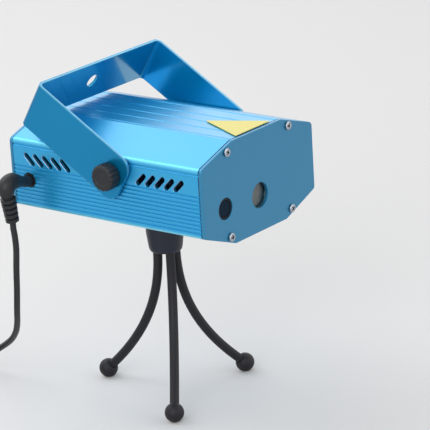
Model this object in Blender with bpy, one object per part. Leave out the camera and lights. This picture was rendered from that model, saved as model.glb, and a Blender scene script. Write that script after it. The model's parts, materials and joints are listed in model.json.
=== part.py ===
"""A pocket laser light projector on a bendy desk tripod.

An extruded aluminium housing with two screwed end plates carries a tilting
hanging bracket, clamped by a thumb knob on each side. Inside, two laser
modules shine through a grating wheel that a small motor turns. The lead comes
out of an angled plug in the side wall, and its spare length lies in a coil.

Metres, +Z up, the light leaves towards -Y. The origin is on the floor, below
the middle of the projector without its lead.
"""

import math

import bmesh
import bpy
from mathutils import Matrix, Vector

# Clearances
GAP = 0.0003  # between pieces that rest on each other
RUNNING = 0.00025  # round a shaft that turns in a hole

# Housing: an eight-sided tube between two plates
HOUSING_LENGTH = 0.123
HOUSING_WIDTH = 0.092
HOUSING_HEIGHT = 0.0526
SIDE_HEIGHT = 0.035
SIDE_LIFT = 0.0005  # the upright sides sit this much above mid height
TOP_FLAT = 0.0404
BOTTOM_FLAT = 0.0424
SHELL_WALL = 0.0019
PLATE_THICKNESS = 0.0018
PLATE_CHAMFER = 0.0004
CORNER_RADIUS = 0.0030
SHOULDER_RADIUS = 0.0015
STAND_HEIGHT = 0.0975  # floor to the underside of the housing

# Grooves along the extrusion
GROOVE_DEPTH = 0.0006
RIB_GROOVE_WIDTH = 0.0009
RIB_PITCH = 0.00205
RIB_COUNT = 10
RIB_TOP = 0.0042  # highest rib groove, above mid height
EDGE_GROOVE_WIDTH = 0.0014
EDGE_GROOVE_RISE = 0.0149
FLAT_GROOVE_WIDTH = 0.0012
FLAT_GROOVE_COUNT = 5
FLAT_GROOVE_SPREAD = 0.911  # outermost groove, as a share of half the flat

# Air slots, two leaning groups in each side wall
VENT_COUNT = 5
VENT_PITCH = 0.0059
VENT_WIDTH = 0.0027
VENT_LENGTH = 0.0056  # between the centres of the round ends
VENT_LEAN = math.radians(45)
VENT_FROM_MIDDLE = 0.0362
VENT_SHIFT = 0.0010  # both groups, towards the rear
VENT_RISE = 0.0080

# Plate screws in the four ports of the extrusion
SCREW_X = 0.0253
SCREW_HEAD_RADIUS = 0.0022
SCREW_HEAD_HEIGHT = 0.0011
SCREW_SHANK_RADIUS = 0.0013
SCREW_LENGTH = 0.008
PORT_WALL = 0.0012

# Hanging bracket, one flat strip bent to a U
BRACKET_WIDTH = 0.0256
BRACKET_THICKNESS = 0.0015
BRACKET_REACH = 0.0591  # pivot to the outer face of the crossbar
BRACKET_END = 0.0083  # pivot to the end of an arm
BRACKET_BEND = 0.0022
BRACKET_CORNER = 0.0065
BRACKET_TILT = math.radians(59.0)
PIVOT_FROM_FRONT = 0.0550
PIVOT_RISE = 0.0088  # above mid height
HANGING_HOLE_RADIUS = 0.0037

# Thumb knobs and what they clamp
WASHER_THICKNESS = 0.0005
WASHER_RADIUS = 0.0065
STUD_RADIUS = 0.0020
KNOB_RADIUS = 0.0068
KNOB_LENGTH = 0.0070
KNOB_FLUTES = 16
KNOB_FLUTE_DEPTH = 0.00025
KNOB_BORE_DEPTH = 0.0042
NUT_WIDTH = 0.0070
NUT_THICKNESS = 0.0032

# Front plate openings
APERTURE_RADIUS = 0.0065
APERTURE_DROP = 0.0075  # below mid height
SENSOR_INSET = 0.0178  # from the upright side
SENSOR_DROP = 0.0064
SENSOR_RADIUS = 0.0055
SENSOR_DEPTH = 0.0068
SENSOR_RIM = 0.0009
WINDOW_RADIUS = 0.0090
WINDOW_THICKNESS = 0.0012

# Grating wheel and its drive
TOOTH_MODULE = 0.00075
WHEEL_TEETH = 40
PINION_TEETH = 10
WHEEL_THICKNESS = 0.0030
WHEEL_FROM_FRONT = 0.0070
CARRIER_THICKNESS = 0.0020
BOSS_RADIUS = 0.0100
BEAM_RADIUS = 0.0080
FILM_THICKNESS = 0.0005
PINION_DIRECTION = math.radians(36.87)
MOTOR_RADIUS = 0.0075
MOTOR_LENGTH = 0.0150
MOTOR_SHAFT_RADIUS = 0.0010

# Laser modules in their aluminium block
MODULE_RADIUS = 0.0045
MODULE_SPACING = 0.0104
MODULE_LENGTH = 0.0340
BLOCK_WIDTH = 0.0300
BLOCK_LENGTH = 0.0220
BLOCK_FROM_FRONT = 0.0310
MODULE_FROM_FRONT = 0.0200

# Rear plate controls and the board behind them
BOARD_WIDTH = 0.0540
BOARD_HEIGHT = 0.0360
BOARD_THICKNESS = 0.0016
BOARD_FROM_REAR = 0.0120
CONTROL_INSET = 0.0120  # from each end of the board
SPEED_KNOB_DROP = 0.0020
SPEED_KNOB_RADIUS = 0.0065
SPEED_KNOB_HEIGHT = 0.0110
SPEED_KNOB_FLUTES = 18
SPEED_SHAFT_RADIUS = 0.0030
BUSHING_WALL = 0.0006
POT_SIZE = 0.0160
SWITCH_DROP = 0.0020
SWITCH_WIDTH = 0.0130
SWITCH_HEIGHT = 0.0060
SWITCH_TRAVEL = 0.0020
SLIDER_WIDTH = 0.0036
SLIDER_HEIGHT = 0.0032
SLIDER_PROUD = 0.0025

# Socket for the lead, in the side wall
JACK_FROM_REAR = 0.0115
JACK_DROP = 0.0030
JACK_RADIUS = 0.0050
JACK_NOSE_RADIUS = 0.0036  # the part that fills the hole in the wall
JACK_DEPTH = 0.0130
JACK_BORE_RADIUS = 0.0030
JACK_PIN_RADIUS = 0.0009
BARREL_RADIUS = 0.00275
BARREL_WALL = 0.0010
BARREL_LENGTH = 0.0090

# Tripod
HEAD_TOP_RADIUS = 0.0098
HEAD_BOTTOM_RADIUS = 0.0084
HEAD_HEIGHT = 0.0188
PAD_THICKNESS = 0.0008
TRIPOD_STUD_RADIUS = 0.0031
TRIPOD_STUD_RISE = 0.0075  # into the housing
TRIPOD_NUT_RADIUS = 0.0060
TRIPOD_NUT_HEIGHT = 0.0070
TRIPOD_FROM_FRONT = 0.0628
LEG_RADIUS = 0.0024
LEG_CURVE = 2.2  # how late a leg bends outwards
LEG_SOCKET_DEPTH = 0.0060
LEG_ROOT_RADIUS = 0.0052
LEG_ROOT_ANGLES = (math.radians(98), math.radians(-118), math.radians(-34))
FOOT_ANGLES = (math.radians(93), math.radians(-142), math.radians(-22))
FOOT_CIRCLE_RADIUS = 0.0430
FOOT_RADIUS = 0.0050
FOOT_FLAT = 0.0004  # cut off below, where the rubber rests
FOOT_SOCKET_DEPTH = 0.0035

# Plain decal on top, at the front edge
DECAL_BASE = 0.0284
DECAL_HEIGHT = 0.0292
DECAL_THICKNESS = 0.0003
DECAL_FROM_FRONT = 0.0024
DECAL_CORNER = 0.0008

# Lead: plug moulding, cord, coil and wall adapter
CORD_RADIUS = 0.00165
CORD_GAP = 0.00055  # between neighbouring turns
PLUG_SLEEVE_RADIUS = 0.0028
PLUG_ELBOW_RADIUS = 0.0045
RELIEF_RADIUS = 0.0041
RELIEF_NECK = 0.0031
RELIEF_TAPER = 0.16  # share lost over its length
RELIEF_RIBS = 5
RELIEF_LENGTH = 0.0139
COIL_RADIUS = 0.0243  # outermost turn, at the middle of the cord
COIL_TURNS = 3  # in each of the two layers
COIL_POINTS = 24  # round one turn
CLIMB_DIP = 0.0013  # how far the climbing half turn draws in
ADAPTER_LENGTH = 0.0540
ADAPTER_WIDTH = 0.0340
ADAPTER_HEIGHT = 0.0260
ADAPTER_COVER = 0.0070
ADAPTER_CORNER = 0.0050
ADAPTER_CHAMFER = 0.0012
ADAPTER_ENTRY = 0.0085  # height of the cord above the floor
ADAPTER_RELIEF_LENGTH = 0.0140
ADAPTER_RELIEF_RADIUS = 0.0034
PIN_RADIUS = 0.0020
PIN_LENGTH = 0.0190
PIN_SPACING = 0.0186

# Places worked out from the sizes
FRONT_REACH = GAP + SCREW_HEAD_HEIGHT
REAR_REACH = GAP + SPEED_KNOB_HEIGHT
FRONT_Y = (FRONT_REACH - REAR_REACH - HOUSING_LENGTH) / 2
REAR_Y = FRONT_Y + HOUSING_LENGTH
SHELL_FRONT_Y = FRONT_Y + PLATE_THICKNESS + GAP
SHELL_REAR_Y = REAR_Y - PLATE_THICKNESS - GAP
MIDDLE_Y = (FRONT_Y + REAR_Y) / 2
HALF_WIDTH = HOUSING_WIDTH / 2
UNDERSIDE_Z = STAND_HEIGHT
TOP_Z = UNDERSIDE_Z + HOUSING_HEIGHT
MIDDLE_Z = (UNDERSIDE_Z + TOP_Z) / 2
SHELL_FLOOR_Z = UNDERSIDE_Z + SHELL_WALL
PIVOT_Y = FRONT_Y + PIVOT_FROM_FRONT
PIVOT_Z = MIDDLE_Z + PIVOT_RISE
ARM_INNER_X = HALF_WIDTH + GAP + WASHER_THICKNESS + GAP
ARM_OUTER_X = ARM_INNER_X + BRACKET_THICKNESS
APERTURE_Z = MIDDLE_Z - APERTURE_DROP
JACK_Y = REAR_Y - JACK_FROM_REAR
JACK_Z = MIDDLE_Z - JACK_DROP
TRIPOD_Y = FRONT_Y + TRIPOD_FROM_FRONT
HEAD_TOP_Z = UNDERSIDE_Z - 2 * GAP - PAD_THICKNESS
HEAD_BOTTOM_Z = HEAD_TOP_Z - HEAD_HEIGHT
SPEED_KNOB_X = BOARD_WIDTH / 2 - CONTROL_INSET
SWITCH_X = CONTROL_INSET - BOARD_WIDTH / 2
SENSOR_X = SENSOR_INSET - HALF_WIDTH

# Turning a shape built along +Z to the way it faces
TO_FRONT = (math.radians(90), 0, 0)
TO_REAR = (math.radians(-90), 0, 0)
TO_LEFT = (0, math.radians(-90), 0)
TO_RIGHT = (0, math.radians(90), 0)
UPRIGHT = (0, 0, 0)


def clear_scene():
    """Removes every object that the scene starts with."""
    for thing in list(bpy.data.objects):
        bpy.data.objects.remove(thing, do_unlink=True)


def finish(name, colour, roughness, metallic=0.0, alpha=1.0):
    """A Principled material, made once under its name."""
    material = bpy.data.materials.get(name)
    if material is None:
        material = bpy.data.materials.new(name)
        material.use_nodes = True
        shader = material.node_tree.nodes["Principled BSDF"]
        shader.inputs["Base Color"].default_value = (*colour, 1)
        shader.inputs["Roughness"].default_value = roughness
        shader.inputs["Metallic"].default_value = metallic
        shader.inputs["Alpha"].default_value = alpha
        material.diffuse_color = (*colour, alpha)
    return material


def blue_extrusion(piece):
    return finish(piece + "_anodised_blue", (0.03, 0.30, 0.62), 0.38, 0.6)


def black_plastic(piece):
    return finish(piece + "_black_plastic", (0.02, 0.02, 0.024), 0.5)


def steel(piece):
    return finish(piece + "_bright_steel", (0.75, 0.76, 0.78), 0.28, 1.0)


def black_rubber(piece):
    return finish(piece + "_black_rubber", (0.03, 0.028, 0.035), 0.7)


def put(name, shape, material, place=(0, 0, 0), turn=UPRIGHT, smooth=None):
    """Makes an object from a bmesh, with its origin at place."""
    bmesh.ops.recalc_face_normals(shape, faces=shape.faces)
    mesh = bpy.data.meshes.new(name)
    shape.to_mesh(mesh)
    shape.free()
    if material is not None:
        mesh.materials.append(material)
    if smooth is not None:
        mesh.shade_smooth()
        mesh.set_sharp_from_angle(angle=math.radians(smooth))
    thing = bpy.data.objects.new(name, mesh)
    bpy.context.collection.objects.link(thing)
    thing.location = place
    thing.rotation_euler = turn
    return thing


def tool(name, shape, place=(0, 0, 0), turn=UPRIGHT):
    """A hidden cutter or filler for a Boolean."""
    thing = put(name + "_tool", shape, None, place, turn)
    thing.hide_render = True
    thing.display_type = "WIRE"
    return thing


def combine(thing, other, operation):
    """Adds a live Boolean to an object."""
    boolean = thing.modifiers.new(other.name, "BOOLEAN")
    boolean.operation = operation
    boolean.object = other
    boolean.solver = "EXACT"
    return thing


def loft(rings):
    """Skins rings of as many points each, and caps the first and the last."""
    shape = bmesh.new()
    loops = [[shape.verts.new(point) for point in ring] for ring in rings]
    for low, high in zip(loops, loops[1:]):
        for k in range(len(low)):
            after = (k + 1) % len(low)
            shape.faces.new((low[k], low[after], high[after], high[k]))
    shape.faces.new(list(reversed(loops[0])))
    shape.faces.new(loops[-1])
    return shape


def prism(outline, height, start=0.0):
    """A flat outline carried along +Z."""
    return loft([[(x, y, start) for x, y in outline], [(x, y, start + height) for x, y in outline]])


def join(*shapes):
    """Several closed shapes as one bmesh; the first one takes in the rest."""
    whole = shapes[0]
    for shape in shapes[1:]:
        mesh = bpy.data.meshes.new("join")
        shape.to_mesh(mesh)
        shape.free()
        whole.from_mesh(mesh)
        bpy.data.meshes.remove(mesh)
    return whole


def moved(shape, offset, turn=None):
    """Turns a shape about the origin, then moves it."""
    if turn is not None:
        bmesh.ops.rotate(shape, verts=shape.verts, cent=(0, 0, 0), matrix=turn)
    bmesh.ops.translate(shape, verts=shape.verts, vec=offset)
    return shape


def circle(radius, steps, wave=0.0, waves=0):
    """Points round a circle, fluted where wave is above 0."""
    points = []
    for k in range(steps):
        angle = 2 * math.pi * k / steps
        reach = radius - wave * (1 - math.cos(waves * angle)) / 2
        points.append((reach * math.cos(angle), reach * math.sin(angle)))
    return points


def turned(profile, steps=32, waves=0):
    """Turns (radius, height) points about +Z, from one end to the other.

    A point may hold a third value, the depth of its flutes.
    """
    rings = []
    for radius, height, *wave in profile:
        depth = wave[0] if wave else 0.0
        rings.append([(x, y, height) for x, y in circle(radius, steps, depth, waves)])
    return loft(rings)


def rod(radius, height, start=0.0, steps=24):
    return turned([(radius, start), (radius, start + height)], steps)


def block(width, depth, height, centre=(0, 0, 0)):
    """A plain box about a centre."""
    x, y, z = centre
    half_width, half_depth = width / 2, depth / 2
    outline = [
        (x - half_width, y - half_depth),
        (x + half_width, y - half_depth),
        (x + half_width, y + half_depth),
        (x - half_width, y + half_depth),
    ]
    return prism(outline, height, z - height / 2)


def rounded(corners, radii, steps=4):
    """A convex outline with an arc of its own radius at each corner."""
    points = []
    for k, (corner, radius) in enumerate(zip(corners, radii)):
        here = Vector(corner)
        back = (Vector(corners[k - 1]) - here).normalized()
        ahead = (Vector(corners[(k + 1) % len(corners)]) - here).normalized()
        half = back.angle(ahead) / 2
        centre = here + (back + ahead).normalized() * radius / math.sin(half)
        start = here + back * radius / math.tan(half) - centre
        end = here + ahead * radius / math.tan(half) - centre
        sweep = start.angle_signed(end)
        for step in range(steps + 1):
            arm = start.copy()
            arm.rotate(Matrix.Rotation(-sweep * step / steps, 2))
            points.append(tuple(centre + arm))
    return points


def housing_corners(inset=0.0):
    """The eight corners about mid height, drawn in by inset, anticlockwise."""
    half_width = HALF_WIDTH
    half_height = HOUSING_HEIGHT / 2
    side_top = SIDE_LIFT + SIDE_HEIGHT / 2
    side_bottom = SIDE_LIFT - SIDE_HEIGHT / 2
    corners = [
        (-BOTTOM_FLAT / 2, -half_height),
        (BOTTOM_FLAT / 2, -half_height),
        (half_width, side_bottom),
        (half_width, side_top),
        (TOP_FLAT / 2, half_height),
        (-TOP_FLAT / 2, half_height),
        (-half_width, side_top),
        (-half_width, side_bottom),
    ]
    if not inset:
        return corners
    drawn = []
    for k, corner in enumerate(corners):
        here = Vector(corner)
        back = (Vector(corners[k - 1]) - here).normalized()
        ahead = (Vector(corners[(k + 1) % len(corners)]) - here).normalized()
        half = back.angle(ahead) / 2
        drawn.append(tuple(here + (back + ahead).normalized() * inset / math.sin(half)))
    return drawn


def corner_radii(inset=0.0):
    """Small arcs at the flats, larger ones at the upright sides."""
    shoulder = max(SHOULDER_RADIUS - inset, GAP)
    side = max(CORNER_RADIUS - inset, GAP)
    return [shoulder, shoulder, side, side, shoulder, shoulder, side, side]


def plate_outline(inset=0.0):
    return rounded(housing_corners(inset), corner_radii(inset), 3)


def groove(start, end, at, width):
    """Four points that dip into the edge from start to end, round its point at."""
    along = (Vector(end) - Vector(start)).normalized()
    inwards = Vector((-along.y, along.x))
    middle = Vector(at)
    return [
        tuple(middle - along * width / 2),
        tuple(middle - along * width / 4 + inwards * GROOVE_DEPTH),
        tuple(middle + along * width / 4 + inwards * GROOVE_DEPTH),
        tuple(middle + along * width / 2),
    ]


def shell_outline():
    """The extrusion's outside, with its ribs and grooves, anticlockwise."""
    corners = housing_corners()
    arcs = plate_outline()
    per_corner = len(arcs) // len(corners)
    ribs = [(RIB_TOP - k * RIB_PITCH, RIB_GROOVE_WIDTH) for k in range(RIB_COUNT)]
    side = sorted(ribs + [(EDGE_GROOVE_RISE, EDGE_GROOVE_WIDTH)])
    last = FLAT_GROOVE_COUNT - 1
    across = [FLAT_GROOVE_SPREAD * (2 * k / last - 1) for k in range(FLAT_GROOVE_COUNT)]
    points = []
    for k, corner in enumerate(corners):
        after = corners[(k + 1) % len(corners)]
        points += arcs[k * per_corner : (k + 1) * per_corner]
        if k == 0:
            for share in across:
                points += groove(corner, after, (-share * corner[0], corner[1]), FLAT_GROOVE_WIDTH)
        elif k == 2:
            for at, width in side:
                points += groove(corner, after, (corner[0], at), width)
        elif k == 4:
            for share in across:
                points += groove(corner, after, (-share * corner[0], corner[1]), FLAT_GROOVE_WIDTH)
        elif k == 6:
            for at, width in reversed(side):
                points += groove(corner, after, (corner[0], at), width)
    return points


def slot(length, width, steps=4):
    """A slot's outline about the origin, its ends round, its length along Y."""
    points = []
    for end, first in ((1, 0.0), (-1, math.pi)):
        for k in range(steps + 1):
            angle = first + math.pi * k / steps
            x = width / 2 * math.cos(angle)
            points.append((x, end * length / 2 + width / 2 * math.sin(angle)))
    return points


def port_height(edge, flat):
    """Height of a port that just clears the slope between two corners of the housing."""
    lean = (flat[1] - edge[1]) / (edge[0] - flat[0])
    slope = flat[1] - lean * (SCREW_X - flat[0])
    sink = (SCREW_SHANK_RADIUS + RUNNING + PORT_WALL + GAP / 4) * math.hypot(1, lean)
    return slope - math.copysign(sink, flat[1])


def port_places():
    corners = housing_corners()
    low = port_height(corners[2], corners[1])
    high = port_height(corners[3], corners[4])
    return [(side * SCREW_X, height) for side in (-1, 1) for height in (low, high)]


def vent_cutter(side):
    """Both groups of slots in one side wall; the slots lean away from the knob."""
    depth = 3 * SHELL_WALL
    slots = []
    for group in (-1, 1):
        for k in range(VENT_COUNT):
            along = group * VENT_FROM_MIDDLE + (k - (VENT_COUNT - 1) / 2) * VENT_PITCH
            shape = prism(slot(VENT_LENGTH, VENT_WIDTH), 2 * depth, -depth)
            lean = Matrix.Rotation(-group * side * VENT_LEAN, 3, "Z")
            bmesh.ops.rotate(shape, verts=shape.verts, cent=(0, 0, 0), matrix=lean)
            slots.append(moved(shape, (side * along, 0, 0)))
    stand = Matrix.Rotation(math.radians(90), 3, "X")
    face = Matrix.Rotation(math.radians(90), 3, "Z")
    shape = moved(moved(join(*slots), (0, 0, 0), stand), (0, 0, 0), face)
    return moved(shape, (side * HALF_WIDTH, MIDDLE_Y + VENT_SHIFT, MIDDLE_Z + VENT_RISE))


def make_shell():
    """The tube: outside less inside, plus screw ports, less every opening."""
    length = SHELL_REAR_Y - SHELL_FRONT_Y
    rear = (0, SHELL_REAR_Y, MIDDLE_Z)
    shell = put(
        "housing_shell",
        prism(shell_outline(), length),
        blue_extrusion("housing_shell"),
        rear,
        TO_FRONT,
        30,
    )
    hollow = rounded(housing_corners(SHELL_WALL), [SHOULDER_RADIUS] * 8, 2)
    inside = tool("shell_inside", prism(hollow, length + 2 * PLATE_THICKNESS, -PLATE_THICKNESS), rear, TO_FRONT)
    combine(shell, inside, "DIFFERENCE")
    bore = SCREW_SHANK_RADIUS + RUNNING
    ports = [moved(rod(bore + PORT_WALL, length, 0, 16), (x, z, 0)) for x, z in port_places()]
    combine(shell, tool("screw_ports", join(*ports), rear, TO_FRONT), "UNION")
    bores = [
        moved(rod(bore, length + 2 * PLATE_THICKNESS, -PLATE_THICKNESS, 12), (x, z, 0))
        for x, z in port_places()
    ]
    combine(shell, tool("screw_bores", join(*bores), rear, TO_FRONT), "DIFFERENCE")
    vents = join(vent_cutter(-1), vent_cutter(1))
    combine(shell, tool("vents", vents), "DIFFERENCE")
    through = 2 * HOUSING_WIDTH
    pivot = tool("pivot_holes", rod(STUD_RADIUS + GAP, through, -through / 2, 16), (0, PIVOT_Y, PIVOT_Z), TO_RIGHT)
    combine(shell, pivot, "DIFFERENCE")
    jack_place = (-HALF_WIDTH, JACK_Y, JACK_Z)
    jack = tool("jack_hole", rod(JACK_NOSE_RADIUS + GAP, 4 * SHELL_WALL, -2 * SHELL_WALL, 20), jack_place, TO_LEFT)
    combine(shell, jack, "DIFFERENCE")
    below = (0, TRIPOD_Y, UNDERSIDE_Z)
    stud = tool("tripod_hole", rod(TRIPOD_STUD_RADIUS + GAP, 4 * SHELL_WALL, -2 * SHELL_WALL, 20), below)
    combine(shell, stud, "DIFFERENCE")
    return shell


def chamfered_plate():
    """The end plate's blank, both faces drawn in by its chamfer."""
    levels = [
        (PLATE_CHAMFER, 0),
        (0, PLATE_CHAMFER),
        (0, PLATE_THICKNESS - PLATE_CHAMFER),
        (PLATE_CHAMFER, PLATE_THICKNESS),
    ]
    return loft([[(x, y, height) for x, y in plate_outline(inset)] for inset, height in levels])


def screw_clearances():
    """Cutters for the four holes of a plate."""
    hole = SCREW_SHANK_RADIUS + RUNNING
    return [
        moved(rod(hole, 3 * PLATE_THICKNESS, -PLATE_THICKNESS, 12), (x, z, 0)) for x, z in port_places()
    ]


def make_front_plate():
    plate = put(
        "front_plate",
        chamfered_plate(),
        blue_extrusion("front_plate"),
        (0, FRONT_Y + PLATE_THICKNESS, MIDDLE_Z),
        TO_FRONT,
    )
    openings = screw_clearances()
    through = (3 * PLATE_THICKNESS, -PLATE_THICKNESS)
    openings.append(moved(rod(APERTURE_RADIUS, *through, 28), (0, -APERTURE_DROP, 0)))
    openings.append(moved(rod(SENSOR_RADIUS, *through, 24), (SENSOR_X, -SENSOR_DROP, 0)))
    combine(plate, tool("front_openings", join(*openings), plate.location, TO_FRONT), "DIFFERENCE")
    return plate


def make_rear_plate():
    plate = put(
        "rear_plate",
        chamfered_plate(),
        blue_extrusion("rear_plate"),
        (0, REAR_Y, MIDDLE_Z),
        TO_FRONT,
    )
    openings = screw_clearances()
    through = (3 * PLATE_THICKNESS, -PLATE_THICKNESS)
    bushing = SPEED_SHAFT_RADIUS + RUNNING + BUSHING_WALL
    openings.append(moved(rod(bushing + GAP, *through, 20), (SPEED_KNOB_X, -SPEED_KNOB_DROP, 0)))
    slit = block(
        SLIDER_WIDTH + 2 * SWITCH_TRAVEL + 2 * GAP,
        SLIDER_HEIGHT + 2 * GAP,
        3 * PLATE_THICKNESS,
        (SWITCH_X, -SWITCH_DROP, PLATE_THICKNESS / 2),
    )
    openings.append(slit)
    combine(plate, tool("rear_openings", join(*openings), plate.location, TO_FRONT), "DIFFERENCE")
    return plate


def make_plate_screws():
    """A pan-headed screw in each port, at the front and at the rear."""
    edge = SCREW_HEAD_RADIUS - GAP
    profile = [
        (SCREW_SHANK_RADIUS, -SCREW_LENGTH),
        (SCREW_SHANK_RADIUS, GAP),
        (SCREW_HEAD_RADIUS, GAP),
        (SCREW_HEAD_RADIUS, GAP + SCREW_HEAD_HEIGHT / 2),
        (edge, GAP + SCREW_HEAD_HEIGHT * 0.8),
        (edge / 2, GAP + SCREW_HEAD_HEIGHT),
    ]
    for end, plane, turn in (("front", FRONT_Y, TO_FRONT), ("rear", REAR_Y, TO_REAR)):
        for number, (x, z) in enumerate(port_places(), 1):
            name = f"{end}_screw_{number}"
            put(name, turned(profile, 12), steel(name), (x, plane, MIDDLE_Z + z), turn, 30)


def strip_outline():
    """The bracket's strip seen along its width, as X and distance from the pivot."""
    inner_top = BRACKET_REACH - BRACKET_THICKNESS
    outer = BRACKET_BEND + BRACKET_THICKNESS
    outside = [
        (ARM_OUTER_X, -BRACKET_END),
        (ARM_OUTER_X, BRACKET_REACH),
        (-ARM_OUTER_X, BRACKET_REACH),
        (-ARM_OUTER_X, -BRACKET_END),
    ]
    inside = [
        (ARM_INNER_X, -BRACKET_END),
        (ARM_INNER_X, inner_top),
        (-ARM_INNER_X, inner_top),
        (-ARM_INNER_X, -BRACKET_END),
    ]
    tiny = BRACKET_THICKNESS / 100
    outer_line = rounded(outside, [tiny, outer, outer, tiny], 4)
    inner_line = rounded(inside, [tiny, BRACKET_BEND, BRACKET_BEND, tiny], 4)
    return outer_line, inner_line


def make_bracket():
    """The U strip, its arm ends rounded, with pivot holes and a hanging hole."""
    outer_line, inner_line = strip_outline()
    steps = 5
    outer_path = [outer_line[0], *outer_line[steps : 3 * steps], outer_line[-1]]
    inner_path = [inner_line[0], *inner_line[steps : 3 * steps], inner_line[-1]]
    outline = outer_path + list(reversed(inner_path))
    stand = Matrix.Rotation(math.radians(90), 3, "X")
    strip = moved(prism(outline, BRACKET_WIDTH, -BRACKET_WIDTH / 2), (0, 0, 0), stand)
    place = (0, PIVOT_Y, PIVOT_Z)
    tilt = (-BRACKET_TILT, 0, 0)
    bracket = put("hanging_bracket", strip, blue_extrusion("hanging_bracket"), place, tilt, 35)
    half = BRACKET_WIDTH / 2
    beyond = BRACKET_REACH + BRACKET_THICKNESS
    sheet = [(-half, -BRACKET_END), (half, -BRACKET_END), (half, beyond), (-half, beyond)]
    square = BRACKET_THICKNESS / 10
    trimmed = rounded(sheet, [BRACKET_CORNER, BRACKET_CORNER, square, square], 5)
    wide = 2 * HOUSING_WIDTH
    face = Matrix.Rotation(math.radians(90), 3, "Z")
    blank = moved(moved(prism(trimmed, wide, -wide / 2), (0, 0, 0), stand), (0, 0, 0), face)
    combine(bracket, tool("bracket_blank", blank, place, tilt), "INTERSECT")
    sideways = Matrix.Rotation(math.radians(90), 3, "Y")
    pivots = moved(rod(STUD_RADIUS + GAP, wide, -wide / 2, 16), (0, 0, 0), sideways)
    hole = rod(HANGING_HOLE_RADIUS, 4 * BRACKET_THICKNESS, BRACKET_REACH - 2 * BRACKET_THICKNESS, 24)
    combine(bracket, tool("bracket_holes", join(pivots, hole), place, tilt), "DIFFERENCE")
    return bracket


def make_pivot(side, word, turn):
    """Washer, thumb knob, its stud and the nut inside, on one side."""
    pivot = (0, PIVOT_Y, PIVOT_Z)

    def at(distance):
        return (side * distance, pivot[1], pivot[2])

    ring = [
        (STUD_RADIUS + GAP, 0),
        (WASHER_RADIUS, 0),
        (WASHER_RADIUS, WASHER_THICKNESS),
        (STUD_RADIUS + GAP, WASHER_THICKNESS),
    ]
    washer = f"{word}_pivot_washer"
    put(washer, ring_solid(ring, 20), black_plastic(washer), at(HALF_WIDTH + GAP), turn, 30)
    base = ARM_OUTER_X + GAP
    bore = STUD_RADIUS + RUNNING
    profile = [
        (bore, KNOB_BORE_DEPTH),
        (bore, 0),
        (KNOB_RADIUS - 2 * GAP, 0),
        (KNOB_RADIUS, 2 * GAP, KNOB_FLUTE_DEPTH),
        (KNOB_RADIUS, KNOB_LENGTH - 3 * GAP, KNOB_FLUTE_DEPTH),
        (KNOB_RADIUS - 2 * GAP, KNOB_LENGTH - GAP),
        (KNOB_RADIUS - 5 * GAP, KNOB_LENGTH),
    ]
    knob = f"{word}_thumb_knob"
    put(knob, turned(profile, 3 * KNOB_FLUTES, KNOB_FLUTES), black_plastic(knob), at(base), turn, 30)
    nut_inner = HALF_WIDTH - SHELL_WALL - GAP - NUT_THICKNESS
    stud_start = nut_inner - BRACKET_THICKNESS
    stud_end = base + KNOB_BORE_DEPTH - GAP
    stud = f"{word}_knob_stud"
    put(stud, rod(STUD_RADIUS, stud_end - stud_start, 0, 16), steel(stud), at(stud_start), turn, 30)
    hexagon = circle(NUT_WIDTH / math.sqrt(3), 6)
    nut = f"{word}_pivot_nut"
    body = put(nut, prism(hexagon, NUT_THICKNESS), steel(nut), at(nut_inner), turn)
    hole = tool(nut, rod(bore, 3 * NUT_THICKNESS, -NUT_THICKNESS, 16), at(nut_inner), turn)
    combine(body, hole, "DIFFERENCE")


def ring_solid(profile, steps):
    """A closed ring: (radius, height) points that never reach the axis."""
    shape = bmesh.new()
    rings = []
    for radius, height in profile:
        rings.append([shape.verts.new((x, y, height)) for x, y in circle(radius, steps)])
    for k, low in enumerate(rings):
        high = rings[(k + 1) % len(rings)]
        for j in range(steps):
            after = (j + 1) % steps
            shape.faces.new((low[j], low[after], high[after], high[j]))
    return shape


def make_sensor():
    """The microphone behind the small round hole, in its rubber ring."""
    place = (SENSOR_X, FRONT_Y + PLATE_THICKNESS, MIDDLE_Z - SENSOR_DROP)
    inner = SENSOR_RADIUS - SENSOR_RIM
    outer = SENSOR_RADIUS + 2 * SENSOR_RIM
    ring = [
        (inner, -SENSOR_DEPTH),
        (outer, -SENSOR_DEPTH),
        (outer, -GAP),
        (SENSOR_RADIUS - GAP, -GAP),
        (SENSOR_RADIUS - GAP, PLATE_THICKNESS - 2 * GAP),
        (inner, PLATE_THICKNESS - 2 * GAP),
    ]
    put("sensor_ring", ring_solid(ring, 20), black_rubber("sensor_ring"), place, TO_FRONT, 30)
    capsule = rod(inner - GAP, SENSOR_DEPTH + PLATE_THICKNESS - 4 * GAP, -SENSOR_DEPTH + GAP, 24)
    put("microphone_capsule", capsule, steel("microphone_capsule"), place, TO_FRONT, 30)


def make_window():
    """The glass behind the light opening."""
    glass = finish("window_glass", (0.75, 0.85, 0.82), 0.05, 0.0, 0.4)
    place = (0, FRONT_Y + PLATE_THICKNESS + GAP, APERTURE_Z)
    put("laser_window", rod(WINDOW_RADIUS, WINDOW_THICKNESS, 0, 32), glass, place, TO_REAR, 30)


def gear_outline(teeth, first, flip=1):
    """Straight-sided teeth about their pitch circle, one centred at the angle first."""
    pitch = TOOTH_MODULE * teeth / 2
    tip = pitch + 0.9 * TOOTH_MODULE
    root = pitch - 1.15 * TOOTH_MODULE
    step = 2 * math.pi / teeth
    points = []
    for k in range(teeth):
        middle = first + k * step
        for radius, share in ((root, -0.34), (tip, -0.12), (tip, 0.12), (root, 0.34)):
            angle = middle + share * step
            points.append((flip * radius * math.cos(angle), radius * math.sin(angle)))
    return points


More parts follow.
